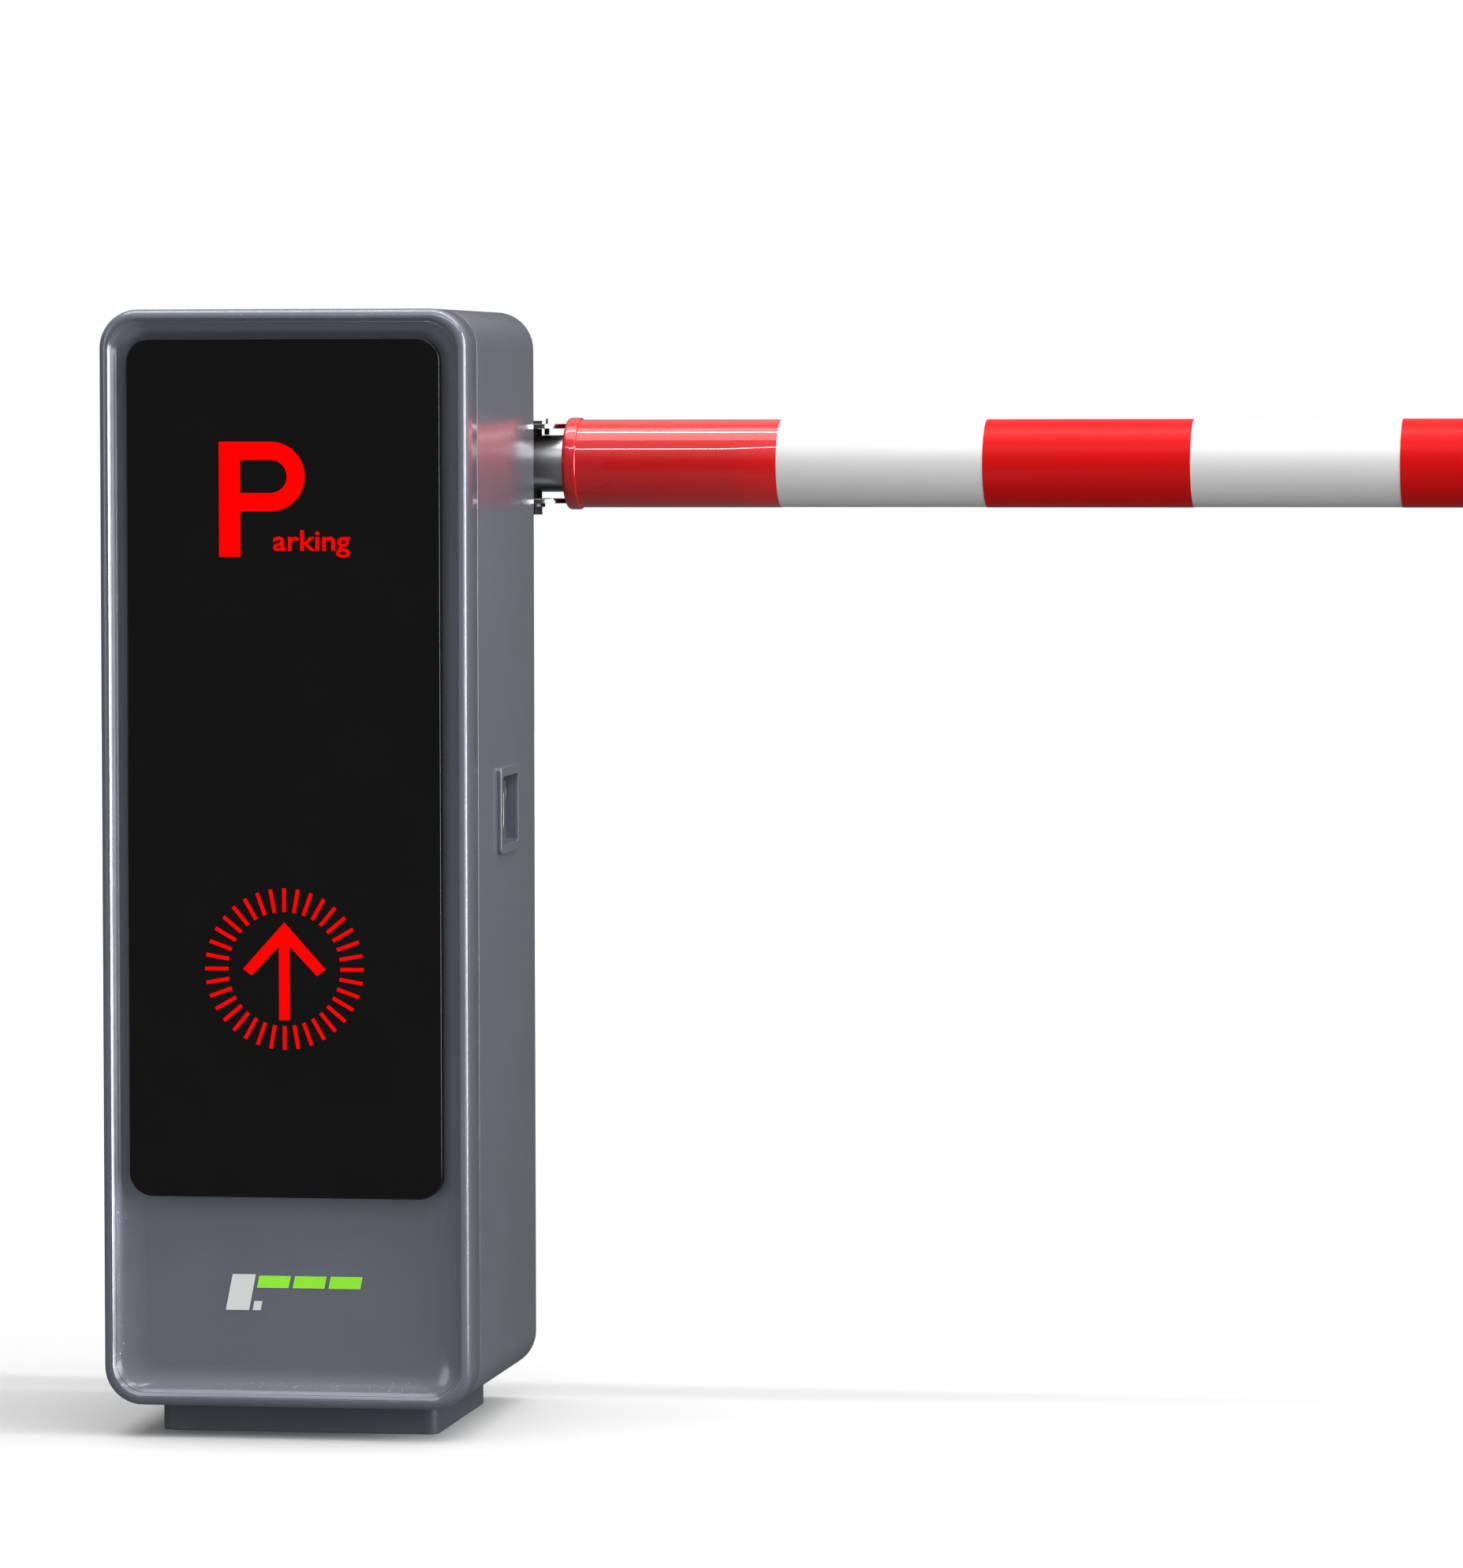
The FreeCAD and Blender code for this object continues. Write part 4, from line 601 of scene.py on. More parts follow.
motor_low, motor_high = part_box("drive_motor")
motor_x, motor_y = (motor_low.x + motor_high.x) / 2.0, (motor_low.y + motor_high.y) / 2.0
motor_radius = (motor_high.x - motor_low.x) / 2.0
fin_count, fin_depth = 30, 0.0055
cap_height, cap_gap, flange_height = 0.030, 0.003, 0.012
cap_top = motor_low.z + cap_height


def finned_can(name, profile, steps=360):
    """Motor body turned about an upright axis. profile is (z, radius, fin): where fin is 1, the surface
    drops by the fin depth between the fins, which repeat round the circle as a smoothed square wave."""
    angle = np.linspace(0.0, 2.0 * math.pi, steps, endpoint=False)
    z, radius, fin = np.array(profile).T
    wave = 0.5 + 0.5 * np.tanh(4.0 * np.cos(fin_count * angle))
    drop = fin_depth * (1.0 - wave)[:, None] * fin[None, :]
    reach = radius[None, :] - drop
    points = np.stack([motor_x + reach * np.cos(angle)[:, None], motor_y + reach * np.sin(angle)[:, None],
                       np.broadcast_to(z[None, :], reach.shape)], axis=-1)
    return closed_skin(grid_mesh(name, points, close_u=True))


top, fin_top, fin_foot = motor_high.z, motor_high.z - flange_height, cap_top + cap_gap
small = 0.0006
flange_radius, neck_radius = motor_radius - 0.001, motor_radius - 0.006
fin_radius, groove_radius = motor_radius - 0.002, motor_radius - 0.0082
can_profile = [(top, 0.0, 0), (top, flange_radius, 0), (fin_top + small, flange_radius, 0),
               (fin_top, flange_radius - small, 0), (fin_top - 0.002, neck_radius, 0),
               (fin_top - 0.003, neck_radius - 0.0002, 0), (fin_top - 0.0032, fin_radius, 1),
               (fin_foot + 0.0005, fin_radius, 1), (fin_foot, fin_radius - 0.0005, 1),
               (fin_foot - 0.0005, groove_radius, 0), (cap_top, groove_radius, 0), (cap_top, 0.0, 0)]
motor_can = new_object("motor_can", finned_can("motor_can", can_profile))

cover_radius, cover_round, cover_side = motor_radius - 0.003, 0.006, 0.020
cover_flat = cover_radius - cover_round
slot_count, slot_inset, slot_pitch = 4, 0.013, 0.007
slot_width, slot_depth, slot_slope = 0.003, 0.0015, 0.0003
slot_floor = motor_low.z + slot_depth
cover_profile = [(cap_top, 0.0, 0), (cap_top, cover_flat, 0), (cap_top, cover_radius - small, 0),
                 (cap_top - small, cover_radius, 0), (cap_top - cover_side, cover_radius, 0)]
cover_profile += [(motor_low.z + cover_round * (1.0 - math.sin(a)), cover_flat + cover_round * math.cos(a), 0)
                  for a in np.linspace(0.0, math.pi / 2.0, 8)]
for k in range(slot_count):
    rim = motor_radius - slot_inset - slot_pitch * k
    cover_profile += [(motor_low.z, rim, 0), (slot_floor, rim - slot_slope, 0),
                      (slot_floor, rim - slot_width + slot_slope, 0), (motor_low.z, rim - slot_width, 0)]
cover_profile += [(motor_low.z, 0.0, 0)]
fan_cover = new_object("fan_cover", finned_can("fan_cover", cover_profile, 120))
dress(motor_can, motor_enamel, "cabinet", "motor_enamel", "drive_motor")
dress(fan_cover, motor_enamel, "cabinet", "motor_enamel")


def rounded_block(name, low, high, radius, steps=4):
    """Box with rounded edges: each point is a corner of the box drawn in by the radius, plus a point of a
    small sphere in the same octant. Two angles walk over the sphere, and the flats lie between octants."""
    low, high = np.array(low, float), np.array(high, float)
    quarter = np.linspace(0.0, math.pi / 2.0, steps + 1)
    turn = np.concatenate([quarter + k * math.pi / 2.0 for k in range(4)])
    side_x = np.repeat([1.0, -1.0, -1.0, 1.0], steps + 1)
    side_y = np.repeat([1.0, 1.0, -1.0, -1.0], steps + 1)
    rise = np.concatenate([quarter - math.pi / 2.0, quarter])
    side_z = np.repeat([-1.0, 1.0], steps + 1)
    inner = (high - low) / 2.0 - radius
    x = side_x[None, :] * inner[0] + radius * np.cos(rise)[:, None] * np.cos(turn)[None, :]
    y = side_y[None, :] * inner[1] + radius * np.cos(rise)[:, None] * np.sin(turn)[None, :]
    z = np.broadcast_to((side_z * inner[2] + radius * np.sin(rise))[:, None], x.shape)
    points = np.stack([x, y, z], axis=-1) + (low + high) / 2.0
    mesh = grid_mesh(name, points, close_v=True, sharp_angle=50.0)
    shape = bmesh.new()
    shape.from_mesh(mesh)
    columns = points.shape[1]
    shape.verts.ensure_lookup_table()
    foot = [shape.verts[i] for i in range(columns)]
    head = [shape.verts[i] for i in range(len(shape.verts) - columns, len(shape.verts))]
    shape.faces.new(foot)
    shape.faces.new(head)
    bmesh.ops.remove_doubles(shape, verts=shape.verts, dist=0.000001)
    bmesh.ops.recalc_face_normals(shape, faces=shape.faces)
    shape.to_mesh(mesh)
    shape.free()
    return mesh


def add_block(name, low, high, radius, material, body, slot):
    """Puts a rounded block into the scene on a body."""
    return dress(new_object(name, rounded_block(name, low, high, radius)), material, body, slot)


box_half, box_out, box_sunk, box_height, box_round = 0.024, 0.022, 0.008, 0.048, 0.003
box_foot = cap_top + 0.030
add_block("terminal_box", (motor_x - box_half, motor_low.y - box_out, box_foot),
          (motor_x + box_half, motor_low.y + box_sunk, box_foot + box_height), box_round, motor_enamel,
          "cabinet", "motor_enamel")


# ---------------------------------------------------------------- controller, power supply and breaker
# A light-grey case holds the controller's green board with its row of terminal blocks, relays, processor
# and capacitors. The supply is a slotted metal box, the breaker a moulded block in the case's grey.
pale_case = moulded("pale_case_plastic", (0.50, 0.51, 0.50), 0.42)
supply_metal = plated_steel("supply_metal", (0.55, 0.56, 0.57), 0.38)
finish_nodes(pale_case, "controller_case", "circuit_breaker")
finish_nodes(supply_metal, "power_supply")


def board_laminate(name):
    """Green solder mask over copper: a fine network of tracks shows as paler, slightly raised lines."""
    material, tree, shader = new_material(name)
    vector = object_coordinates(tree)
    tracks = tree.nodes.new("ShaderNodeTexBrick")
    tracks.inputs["Scale"].default_value = 180.0
    tracks.inputs["Mortar Size"].default_value = 0.05
    tracks.inputs["Color1"].default_value = (0.008, 0.085, 0.030, 1.0)
    tracks.inputs["Color2"].default_value = (0.006, 0.070, 0.024, 1.0)
    tracks.inputs["Mortar"].default_value = (0.030, 0.180, 0.070, 1.0)
    turned_way = tree.nodes.new("ShaderNodeMapping")
    turned_way.inputs["Rotation"].default_value = (0.0, math.radians(90.0), 0.0)
    tree.links.new(vector, turned_way.inputs["Vector"])
    tree.links.new(turned_way.outputs["Vector"], tracks.inputs["Vector"])
    tree.links.new(tracks.outputs["Color"], shader.inputs["Base Color"])
    shader.inputs["Roughness"].default_value = 0.3
    return material


green_board = board_laminate("green_board")
finish_nodes(green_board, "controller_board")
case_low, case_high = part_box("controller_case")
board_thickness = 0.002
board_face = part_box("controller_board")[0].x + board_thickness
relay_blue = moulded("relay_blue", (0.02, 0.09, 0.30), 0.35)
chip_black = moulded("chip_black", (0.02, 0.02, 0.022), 0.5)
relay_size, relay_round = (0.015, 0.018, 0.019), 0.0012
relay_y, relay_foot, relay_pitch = case_high.y - 0.030, case_low.z + 0.018, 0.024
for k in range(4):
    relay_low = (board_face, relay_y, relay_foot + relay_pitch * k)
    add_block("relay_%d" % (k + 1), relay_low, np.add(relay_low, relay_size), relay_round, relay_blue,
              "cabinet", "case_plastic")
chip_size, chip_round = (0.002, 0.016, 0.016), 0.0004
chip_low = (board_face, case_low.y + 0.040, case_low.z + 0.120)
add_block("processor", chip_low, np.add(chip_low, chip_size), chip_round, chip_black, "cabinet",
          "board_laminate")


def capacitor_can(name, y, z, radius, length, steps=32):
    """Capacitor standing out from the board along +X: a turned can whose radius dips in a rolled groove near
    its foot and whose far rim is chamfered."""
    groove, groove_half, waist, chamfer = 0.0030, 0.0008, 0.92, 0.001
    angle = np.linspace(0.0, 2.0 * math.pi, steps, endpoint=False)
    profile = np.array([(0.0, 0.0), (0.0, radius), (groove - groove_half, radius), (groove, radius * waist),
                        (groove + groove_half, radius), (length - chamfer, radius),
                        (length, radius - chamfer), (length, 0.0)])
    out, reach = profile.T
    points = np.stack([np.broadcast_to(board_face + out[None, :], (steps, len(out))),
                       y + reach * np.cos(angle)[:, None], z + reach * np.sin(angle)[:, None]], axis=-1)
    return closed_skin(grid_mesh(name, points, close_u=True, sharp_angle=50.0))


capacitor_y, capacitor_z, capacitor_pitch = case_low.y + 0.042, case_high.z - 0.026, 0.014
capacitor_radius, capacitor_length = 0.0055, 0.019
for k in range(3):
    name = "capacitor_%d" % (k + 1)
    can = capacitor_can(name, capacitor_y + capacitor_pitch * k, capacitor_z, capacitor_radius,
                        capacitor_length)
    dress(new_object(name, can), chip_black if k else supply_metal, "cabinet", "case_plastic")


# ---------------------------------------------------------------- side latch
# A shallow frame screwed to the cabinet's right side, with a pressed cup, an upright paddle on a pin and a
# nickel-plated key cylinder. The frame and cup are coated with the cabinet, the paddle satin-plated.
eased_copy("latch_frame", 0.0005, slate_coat, "cabinet", "latch_paint")
finish_nodes(slate_coat, "latch_tray")
satin_plate = plated_steel("satin_plate", (0.46, 0.47, 0.49), 0.3)
key_nickel = plated_steel("key_nickel", (0.66, 0.66, 0.66), 0.2)
eased_copy("latch_paddle", 0.0005, satin_plate, "paddle", "paddle_metal")
eased_copy("key_cylinder", 0.0003, key_nickel, "key", "key_chrome")


# ---------------------------------------------------------------- door frame
# One deep-drawn dish: a narrow rim with a full outside round, a hollow cove that runs out into the flat
# tray, and a window behind the glass. It is coated like the shell and hangs on its hinges as one piece.
def rounded_path(half_a, half_b, radius, corner_steps=14, side_steps=(20, 44)):
    """Points of a rounded rectangle, anticlockwise from the right-hand side's foot: quarter circles at the
    four corners, joined by evenly divided straight sides. Always the same number of points."""
    quarter = np.linspace(0.0, math.pi / 2.0, corner_steps + 1)
    points = []
    corners = [(half_a - radius, half_b - radius, 0.0), (-half_a + radius, half_b - radius, 90.0),
               (-half_a + radius, -half_b + radius, 180.0), (half_a - radius, -half_b + radius, 270.0)]
    for k, (centre_a, centre_b, start) in enumerate(corners):
        angle = quarter + math.radians(start)
        arc = np.stack([centre_a + radius * np.cos(angle), centre_b + radius * np.sin(angle)], axis=-1)
        next_a, next_b, next_start = corners[(k + 1) % 4]
        first = math.radians(next_start)
        goal = np.array([next_a + radius * math.cos(first), next_b + radius * math.sin(first)])
        steps = side_steps[k % 2]
        share = np.linspace(0.0, 1.0, steps + 1)[1:-1, None]
        points += [arc, arc[-1] + (goal - arc[-1]) * share]
    return np.vstack(points)


def frame_surface(stations, centre_x=0.0, centre_z=0.0, outer=(0.0, 0.0)):
    """Profile carried round a rounded rectangle. Each station is (inset, depth y, corner radius): the path
    at that station is the outer rectangle drawn in by the inset, at that depth."""
    rings = []
    for inset, depth, radius in stations:
        path = rounded_path(outer[0] - inset, outer[1] - inset, max(radius, 0.0004))
        depths = np.full(len(path), depth)
        rings.append(np.stack([path[:, 0] + centre_x, depths, path[:, 1] + centre_z], axis=-1))
    return np.stack(rings, axis=1)


door_low, door_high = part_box("door_frame")
front_y, seam_y = door_low.y, door_high.y
rim_width, cove_width, cove_depth = 0.009, 0.029, 0.014
edge_radius, rim_corner, tray_corner = 0.008, 0.029, 0.021
tray_y = front_y + cove_depth
door_wall = 0.003
glass_low, glass_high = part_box("display_glass")
glass_half = (glass_high.x, (glass_high.z - glass_low.z) / 2.0)
glass_middle = (glass_high.z + glass_low.z) / 2.0

cove_swing = math.radians(52.0)
turn = np.linspace(cove_swing, 0.0, 13)
cove_inset = rim_width + cove_width * (1.0 - np.sin(turn) / math.sin(cove_swing))
cove_fall = front_y + cove_depth * (1.0 - (1.0 - np.cos(turn)) / (1.0 - math.cos(cove_swing)))
cove_round = np.linspace(rim_corner, tray_corner, len(turn))
soften = np.array([(rim_width - 0.0010, front_y + 0.00005, rim_corner + 0.0004),
                   (rim_width - 0.0002, front_y + 0.0005, rim_corner)])
cove = np.stack([cove_inset, cove_fall, cove_round], axis=-1)
quarter = np.linspace(0.0, math.pi / 2.0, 12)
outside = np.stack([edge_radius * (1.0 - np.cos(quarter)), front_y + edge_radius * (1.0 - np.sin(quarter)),
                    corner_radius - edge_radius * (1.0 - np.cos(quarter))], axis=-1)
lip = 0.0006
step_in, step_back = 0.004, 0.005
back_edge = [(0.0, seam_y - lip, corner_radius), (lip * 0.3, seam_y - lip * 0.3, corner_radius),
             (lip, seam_y, corner_radius - lip), (door_wall - lip, seam_y, corner_radius - door_wall),
             (door_wall, seam_y - lip, corner_radius - door_wall),
             (door_wall, front_y + edge_radius, corner_radius - door_wall),
             (door_wall + step_in, front_y + step_back, corner_radius - door_wall - step_in)]
behind_cove = np.stack([cove_inset[::3] + door_wall, cove_fall[::3] + door_wall, cove_round[::3]], axis=-1)
stations = np.vstack([cove[::-1], soften[::-1], outside[::-1], back_edge, behind_cove])
door_ring = frame_surface(stations, 0.0, body_middle, (half_width, half_height))
window_inset, window_corner = 0.012, 0.010
window_stations = [(window_inset, depth, window_corner) for depth in (tray_y, tray_y + door_wall)]
window = frame_surface(window_stations, 0.0, glass_middle, glass_half)
spread = np.linspace(0.0, 1.0, 7)[:, None]
tray_floor = np.stack([window[:, 0] * (1.0 - s) + door_ring[:, 0] * s for s in spread[:-1]], axis=1)
tray_back = np.stack([door_ring[:, -1] * (1.0 - s) + window[:, 1] * s for s in spread[1:]], axis=1)
door_surface = np.concatenate([tray_floor, door_ring, tray_back], axis=1)
door_skin = new_object("door_skin", grid_mesh("door_skin", door_surface, close_u=True, close_v=True))
door_skin.data.flip_normals()
dress(door_skin, slate_coat, "door", "cabinet_paint", "door_frame")


# ---------------------------------------------------------------- inside of the door
# A white moulded carrier holds the lamps behind the panel, a galvanised cover closes the door's back, and a
# black rubber seal runs round the cover's edge and meets the cabinet's front edge.
carrier_white = moulded("carrier_white", (0.62, 0.62, 0.60), 0.45)
finish_nodes(carrier_white, "light_carrier")
finish_nodes(zinc_sheet, "door_back_cover")
cover_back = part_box("door_back_cover")[1].y
seal_rubber = moulded("seal_rubber", (0.014, 0.014, 0.014), 0.62, 0.1)
seal_inset, seal_half = 0.0105, 0.0038
seal_press = 0.0002
seal_foot, seal_top = cover_back - seal_press, seam_y + seal_press
lap = np.linspace(0.0, math.pi, 9)
seal_stations = [(seal_inset + seal_half * math.cos(a), seal_foot + (seal_top - seal_foot) * math.sin(a),
                  corner_radius - seal_inset - seal_half * math.cos(a)) for a in lap]
seal_ring = frame_surface(seal_stations, 0.0, body_middle, (half_width, half_height))
door_seal = new_object("door_seal", grid_mesh("door_seal", seal_ring, close_u=True, close_v=True))
dress(door_seal, seal_rubber, "door", "buffer_rubber")
rib_pitch, rib_half, rib_foot, rib_top = 0.085, 0.007, 0.250, 0.830
rib_sunk, rib_rise, rib_round = 0.001, 0.0022, 0.0015
for k, rib_x in enumerate((-rib_pitch, 0.0, rib_pitch)):
    add_block("cover_rib_%d" % (k + 1), (rib_x - rib_half, cover_back - rib_sunk, rib_foot),
              (rib_x + rib_half, cover_back + rib_rise, rib_top), rib_round, zinc_sheet, "door",
              "galvanised_steel")


# ---------------------------------------------------------------- display panel
# A dish of black acrylic, polished, whose face is level with the door's rim and whose sides reach back to
# the tray. Its front edge is a small polished bevel that shows as a thin bright line at the top and right.
def polished_black(name):
    """Deep black plastic with a clear gloss and the faint haze of wiping."""
    material, tree, shader = new_material(name)
    vector = object_coordinates(tree)
    haze = noise(tree, vector, 14.0, 5.0, 0.6)
    tint(tree, shader, haze, (0.0044, 0.0044, 0.0046), (0.0058, 0.0058, 0.0060))
    vary(tree, shader, "Roughness", haze, 0.35, 0.7, 0.10, 0.17)
    shader.inputs["Specular IOR Level"].default_value = 0.45
    return material


def slab(name, half, radius, front, back, centre_x, centre_z, bevel, steps=5):
    """Flat plate seen from the front: a rounded rectangle drawn out from front to back, its front edge
    turned over a quarter circle of the bevel's size. The flat faces are single polygons."""
    angle = np.linspace(0.0, math.pi / 2.0, steps + 1)
    front_edge = np.stack([bevel * (1.0 - np.sin(angle)), front + bevel * (1.0 - np.cos(angle)),
                           radius - bevel * (1.0 - np.sin(angle))], axis=-1)
    rings = frame_surface(np.vstack([front_edge, [(0.0, back, radius)]]), centre_x, centre_z, half)
    mesh = grid_mesh(name, rings, close_u=True)
    count, depth = rings.shape[:2]
    first = range(0, count * depth, depth)
    last = range(depth - 1, count * depth, depth)
    return with_ends(mesh, [first[::-1], last], False)


glass_corner, glass_bevel = 0.022, 0.0012
glass_mesh = slab("display_panel", glass_half, glass_corner, glass_low.y, glass_high.y, 0.0, glass_middle,
                  glass_bevel)
display_panel = new_object("display_panel", glass_mesh)
display_panel.data.flip_normals()
dress(display_panel, polished_black("polished_acrylic"), "door", "display_acrylic", "display_glass")


# ---------------------------------------------------------------- lit legend
# Red translucent film over lamps behind the glass: a large P, a short word beside its foot, an upright
# arrow and the ring of rays round it.
def lit_film(name, colour, power):
    """Film lit from behind: it glows almost evenly, a shade brighter where a lamp sits close behind it."""
    material, tree, shader = new_material(name)
    vector = object_coordinates(tree)
    lamps = noise(tree, vector, 45.0, 1.0)
    vary(tree, shader, "Emission Strength", lamps, 0.3, 0.7, 0.94 * power, 1.06 * power)
    shader.inputs["Emission Color"].default_value = colour + (1.0,)
    shader.inputs["Base Color"].default_value = tuple(0.05 * c for c in colour) + (1.0,)
    shader.inputs["Roughness"].default_value = 0.45
    shader.inputs["Specular IOR Level"].default_value = 0.02
    return material


lamp_red = lit_film("lamp_red_film", (1.0, 0.0, 0.0), 1.0)
finish_nodes(lamp_red, "parking_symbol", "arrow_symbol")

word_left, word_right = -0.0088, 0.0639
word_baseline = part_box("parking_symbol")[0].z + 0.0060
film_gap = 0.0001
word_curve = bpy.data.curves.new("parking_word", "FONT")
word_curve.body = "arking"
word_curve.size = 0.027
word_curve.offset = 0.00035
word_curve.extrude = 0.0001
word_source = new_object("word_source", word_curve)
bpy.context.view_layer.update()
word_mesh = bpy.data.meshes.new_from_object(word_source)
bpy.data.objects.remove(word_source)
word_points = np.empty(len(word_mesh.vertices) * 3, np.float32)
word_mesh.vertices.foreach_get("co", word_points)
word_points = word_points.reshape(-1, 3)
word_span = word_points[:, 0].max() - word_points[:, 0].min()
stretch = (word_right - word_left) / word_span
placed = np.stack([word_left + (word_points[:, 0] - word_points[:, 0].min()) * stretch,
                   glass_low.y - film_gap - word_points[:, 2],
                   word_baseline + word_points[:, 1]], axis=-1)
word_mesh.vertices.foreach_set("co", placed.astype(np.float32).ravel())
word_mesh.update()
parking_word = new_object("parking_word", word_mesh)
dress(parking_word, lamp_red, "door", "lit_legend")


# ---------------------------------------------------------------- door badge
# A small printed pictogram of a barrier on the lower tray: a leaning light-grey post and a green boom of
# three leaning blocks. Each is a thin domed plastic inlay.
def inlay(name, outline, front, back):
    """Thin plate from a closed outline of (x, z) points, drawn out from back to front."""
    flat = np.array(outline)
    count = len(flat)
    front_ring = np.stack([flat[:, 0], np.full(count, front), flat[:, 1]], axis=-1)
    back_ring = np.stack([flat[:, 0], np.full(count, back), flat[:, 1]], axis=-1)
    around = np.arange(count)
    following = (around + 1) % count
    sides = np.stack([around, following, following + count, around + count], axis=-1)
    faces = [tuple(around)] + [tuple((around + count)[::-1])] + [tuple(side[::-1]) for side in sides]
    mesh = bpy.data.meshes.new(name)
    mesh.from_pydata(np.vstack([front_ring, back_ring]).tolist(), [], faces)
    mesh.update()
    return mesh


def printed_inlay(name, colour):
    """Smooth printed plastic, with a trace of mottle."""
    material, tree, shader = new_material(name)
    mottle = noise(tree, object_coordinates(tree), 300.0)
    pale = tuple(min(1.0, 1.05 * c) for c in colour)
    tint(tree, shader, mottle, colour, pale)
    shader.inputs["Roughness"].default_value = 0.4
    return material


badge_front, badge_back = tray_y - 0.0005, tray_y + 0.0002
badge_low, badge_high = 0.1195, 0.1530
slant = 0.20


def leaning_block(left, width, low, high):
    """Four corners of an upright block whose sides lean to the right."""
    return [(left + slant * (low - badge_low), low), (left + width + slant * (low - badge_low), low),
            (left + width + slant * (high - badge_low), high), (left + slant * (high - badge_low), high)]


badge_grey = printed_inlay("badge_grey", (0.66, 0.69, 0.68))
badge_green = printed_inlay("badge_green", (0.29, 0.90, 0.002))
post_left, post_width = -0.0600, 0.022
foot_width, foot_height = 0.0075, 0.0085
boom_left, boom_pitch, block_width = -0.0345, 0.034, 0.030
block_low, block_high = badge_high - 0.0125, badge_high - 0.0012
badge_shapes = [("badge_post", badge_grey, leaning_block(post_left, post_width, badge_low, badge_high)),
                ("badge_foot", badge_grey, leaning_block(boom_left, foot_width, badge_low,
                                                         badge_low + foot_height))]
for k in range(3):
    outline = leaning_block(boom_left + boom_pitch * k, block_width, block_low, block_high)
    badge_shapes.append(("badge_boom_%d" % (k + 1), badge_green, outline))
for name, material, outline in badge_shapes:
    piece = new_object(name, inlay(name, outline, badge_front, badge_back))
    dress(piece, material, "door", "carrier_plastic")


# ---------------------------------------------------------------- fork and pivot
# Two polished stainless plates with rounded ends on a hub hold the boom's root on an upright pivot bolt,
# with black spacers between. A zinc bolt and washer hold the fork on the shaft's end.
fork_polish = worked_steel("fork_polish", (0.40, 0.41, 0.42), 0.12, (4.0, 50.0, 50.0), 0.04)
pivot_black = plated_steel("pivot_black", (0.10, 0.10, 0.11), 0.32)
eased_copy("boom_fork", 0.0006, fork_polish, "lifter", "fork_metal")
eased_copy("pivot_bolt", 0.0004, pivot_black, "lifter", "pivot_steel")
eased_copy("shaft_end_bolt", 0.0005, bright_zinc, "lifter", "pivot_steel")
finish_nodes(pivot_black, "detent_plunger")
drawn_tube = worked_steel("drawn_tube", (0.70, 0.71, 0.72), 0.36, (1.5, 60.0, 60.0), 0.05)
finish_nodes(drawn_tube, "boom_root_tube")


# ---------------------------------------------------------------- boom
# An aluminium tube, 85 mm outside, white powder-coated, with red sheet wrapped round every other 200 mm.
# The first red length is a thicker glossy sleeve that ends in a rounded collar ring at the fork.
def turned(name, profile, axis_y, axis_z, steps=160):
    """Surface turned about the boom's axis: profile is (x, radius) along it, carried round a full circle."""
    angle = np.linspace(0.0, 2.0 * math.pi, steps, endpoint=False)
    x, radius = np.array(profile).T
    points = np.stack([np.broadcast_to(x[None, :], (steps, len(x))),
                       axis_y + radius[None, :] * np.cos(angle)[:, None],
                       axis_z + radius[None, :] * np.sin(angle)[:, None]], axis=-1)
    return grid_mesh(name, points, close_u=True, close_v=True)


def coated_tube(name, colour, dirt=0.06):
    """White coat on the tube: even, semi-gloss, with a little road film in long faint streaks."""
    material, tree, shader = new_material(name)
    streaks = noise(tree, object_coordinates(tree, (1.2, 14.0, 14.0)), 3.0, 5.0, 0.6)
    dull = tuple((1.0 - dirt) * c for c in colour)
    tint(tree, shader, remap(tree, streaks, 0.45, 0.8, 0.0, 1.0), colour, dull)
    vary(tree, shader, "Roughness", streaks, 0.3, 0.8, 0.26, 0.36)
    fine = noise(tree, object_coordinates(tree), 800.0, 2.0)
    tree.links.new(bump(tree, fine, 0.03, 0.0002), shader.inputs["Normal"])
    return material


def glossy_red(name, roughness=0.3, coat=0.0, coat_ior=1.4):
    """Glossy red sheet: a deep even red under a clear layer, with faint drawing lines along the boom."""
    material, tree, shader = new_material(name)
    lines = noise(tree, object_coordinates(tree, (0.4, 60.0, 60.0)), 9.0, 3.0)
    tint(tree, shader, lines, (0.56, 0.004, 0.005), (0.64, 0.006, 0.006))
    vary(tree, shader, "Roughness", lines, 0.3, 0.7, roughness, roughness + 0.05)
    shader.inputs["Specular IOR Level"].default_value = 0.1
    shader.inputs["Coat Weight"].default_value = coat
    shader.inputs["Coat IOR"].default_value = coat_ior
    shader.inputs["Coat Roughness"].default_value = 0.02
    return material


tube_low, tube_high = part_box("boom_tube")
sleeve_low, sleeve_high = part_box("root_sleeve")
collar_low, collar_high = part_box("boom_collar")
boom_y = (tube_low.y + tube_high.y) / 2.0
boom_z = (tube_low.z + tube_high.z) / 2.0
tube_radius = 0.0422
boom_radius = 0.0425
band = 0.200
tube_bore = tube_radius - 0.0015

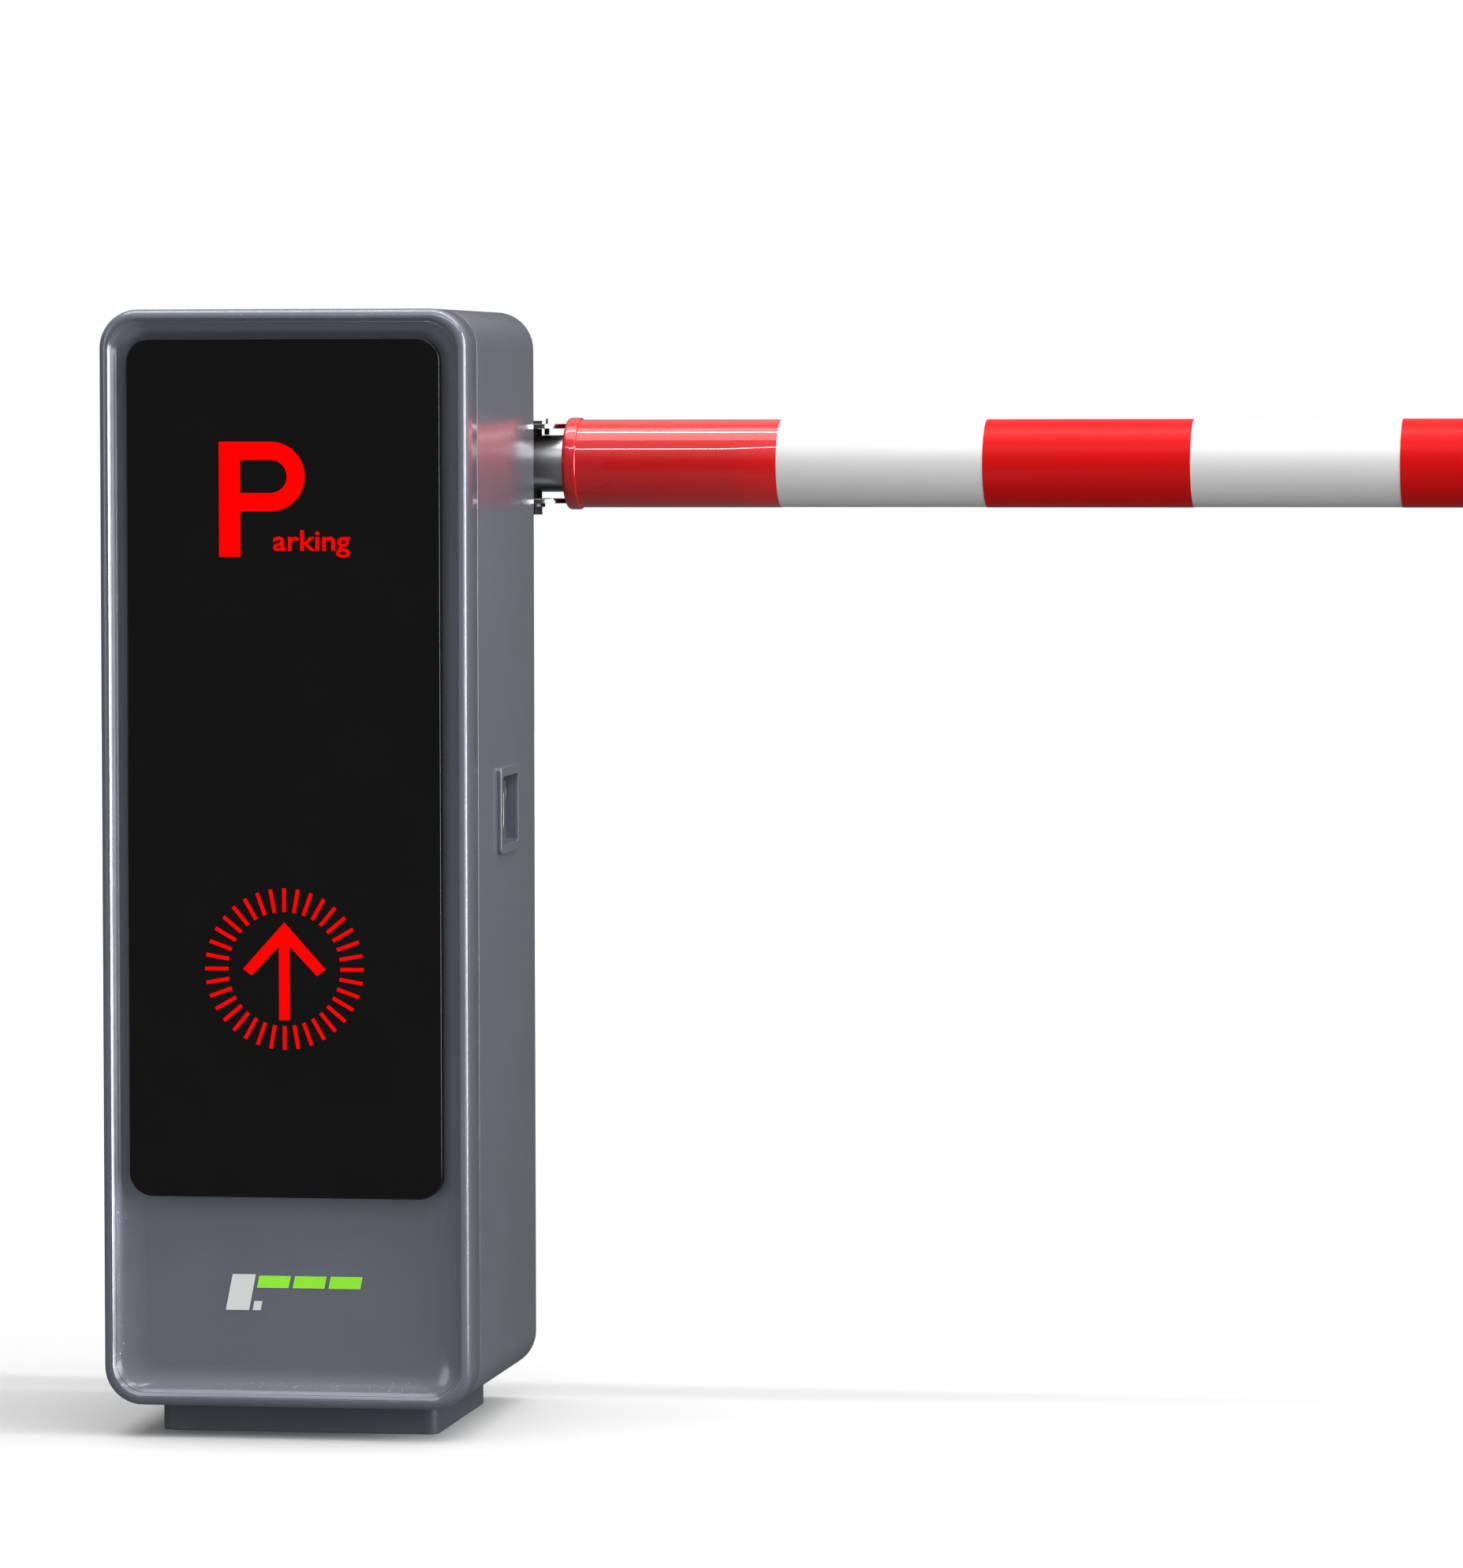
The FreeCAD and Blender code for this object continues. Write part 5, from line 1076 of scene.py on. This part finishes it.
tube_ends = [(tube_low.x, tube_bore), (tube_low.x, tube_radius)]
tube_middle = [(x, tube_radius) for x in np.linspace(tube_low.x, tube_high.x, 32)[1:-1]]
tube_close = [(tube_high.x, tube_radius), (tube_high.x, tube_bore)]
tube_profile = tube_ends + tube_middle + tube_close
white_tube = new_object("white_tube", turned("white_tube", tube_profile, boom_y, boom_z))
dress(white_tube, coated_tube("white_tube_coat", (0.70, 0.70, 0.70)), "boom", "boom_white", "boom_tube")

red_sheet = glossy_red("red_sheet")
red_sleeve = glossy_red("red_sleeve_gloss", coat=1.0, coat_ior=1.7)
shortest_wrap, soft = 0.01, 0.00015
wrap_starts = np.arange(sleeve_high.x + band, tube_high.x - shortest_wrap, 2.0 * band)
for k, start in enumerate(wrap_starts):
    profile = [(start, tube_radius), (start + soft, boom_radius), (start + band / 2.0, boom_radius),
               (start + band - soft, boom_radius), (start + band, tube_radius)]
    name = "red_wrap_%d" % (k + 1)
    wrap = dress(new_object(name, turned(name, profile, boom_y, boom_z)), red_sheet, "boom", "boom_red")
    if k == 0:
        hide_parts("red_bands")

collar_radius = (collar_high.z - collar_low.z) / 2.0
root_radius = 0.0275
face_edge, step_edge = 0.004, 0.0016
seat = collar_low.x + 0.004
bore_edge = 0.0006
turn_out = np.linspace(0.0, math.pi / 2.0, 8)
collar_profile = [(seat, root_radius), (collar_low.x + bore_edge, root_radius),
                  (collar_low.x, root_radius + bore_edge)]
collar_profile += [(collar_low.x + face_edge * (1.0 - math.cos(a)),
                    collar_radius - face_edge * (1.0 - math.sin(a))) for a in turn_out]
collar_profile += [(collar_high.x - step_edge * (1.0 - math.sin(a)),
                    collar_radius - step_edge * (1.0 - math.cos(a))) for a in turn_out]
collar_profile += [(collar_high.x, boom_radius), (collar_high.x, tube_radius), (seat, tube_radius)]
collar_ring = new_object("collar_ring", turned("collar_ring", collar_profile, boom_y, boom_z))
dress(collar_ring, red_sleeve, "boom", "boom_red", "boom_collar")

edge = 0.0004
sleeve_profile = [(sleeve_low.x, tube_radius), (sleeve_low.x, boom_radius)]
sleeve_profile += [(x, boom_radius) for x in np.linspace(sleeve_low.x, sleeve_high.x - edge, 5)[1:]]
sleeve_profile += [(sleeve_high.x, boom_radius - soft), (sleeve_high.x, tube_radius)]
first_sleeve = new_object("first_sleeve", turned("first_sleeve", sleeve_profile, boom_y, boom_z))
dress(first_sleeve, red_sleeve, "boom", "boom_red", "root_sleeve")
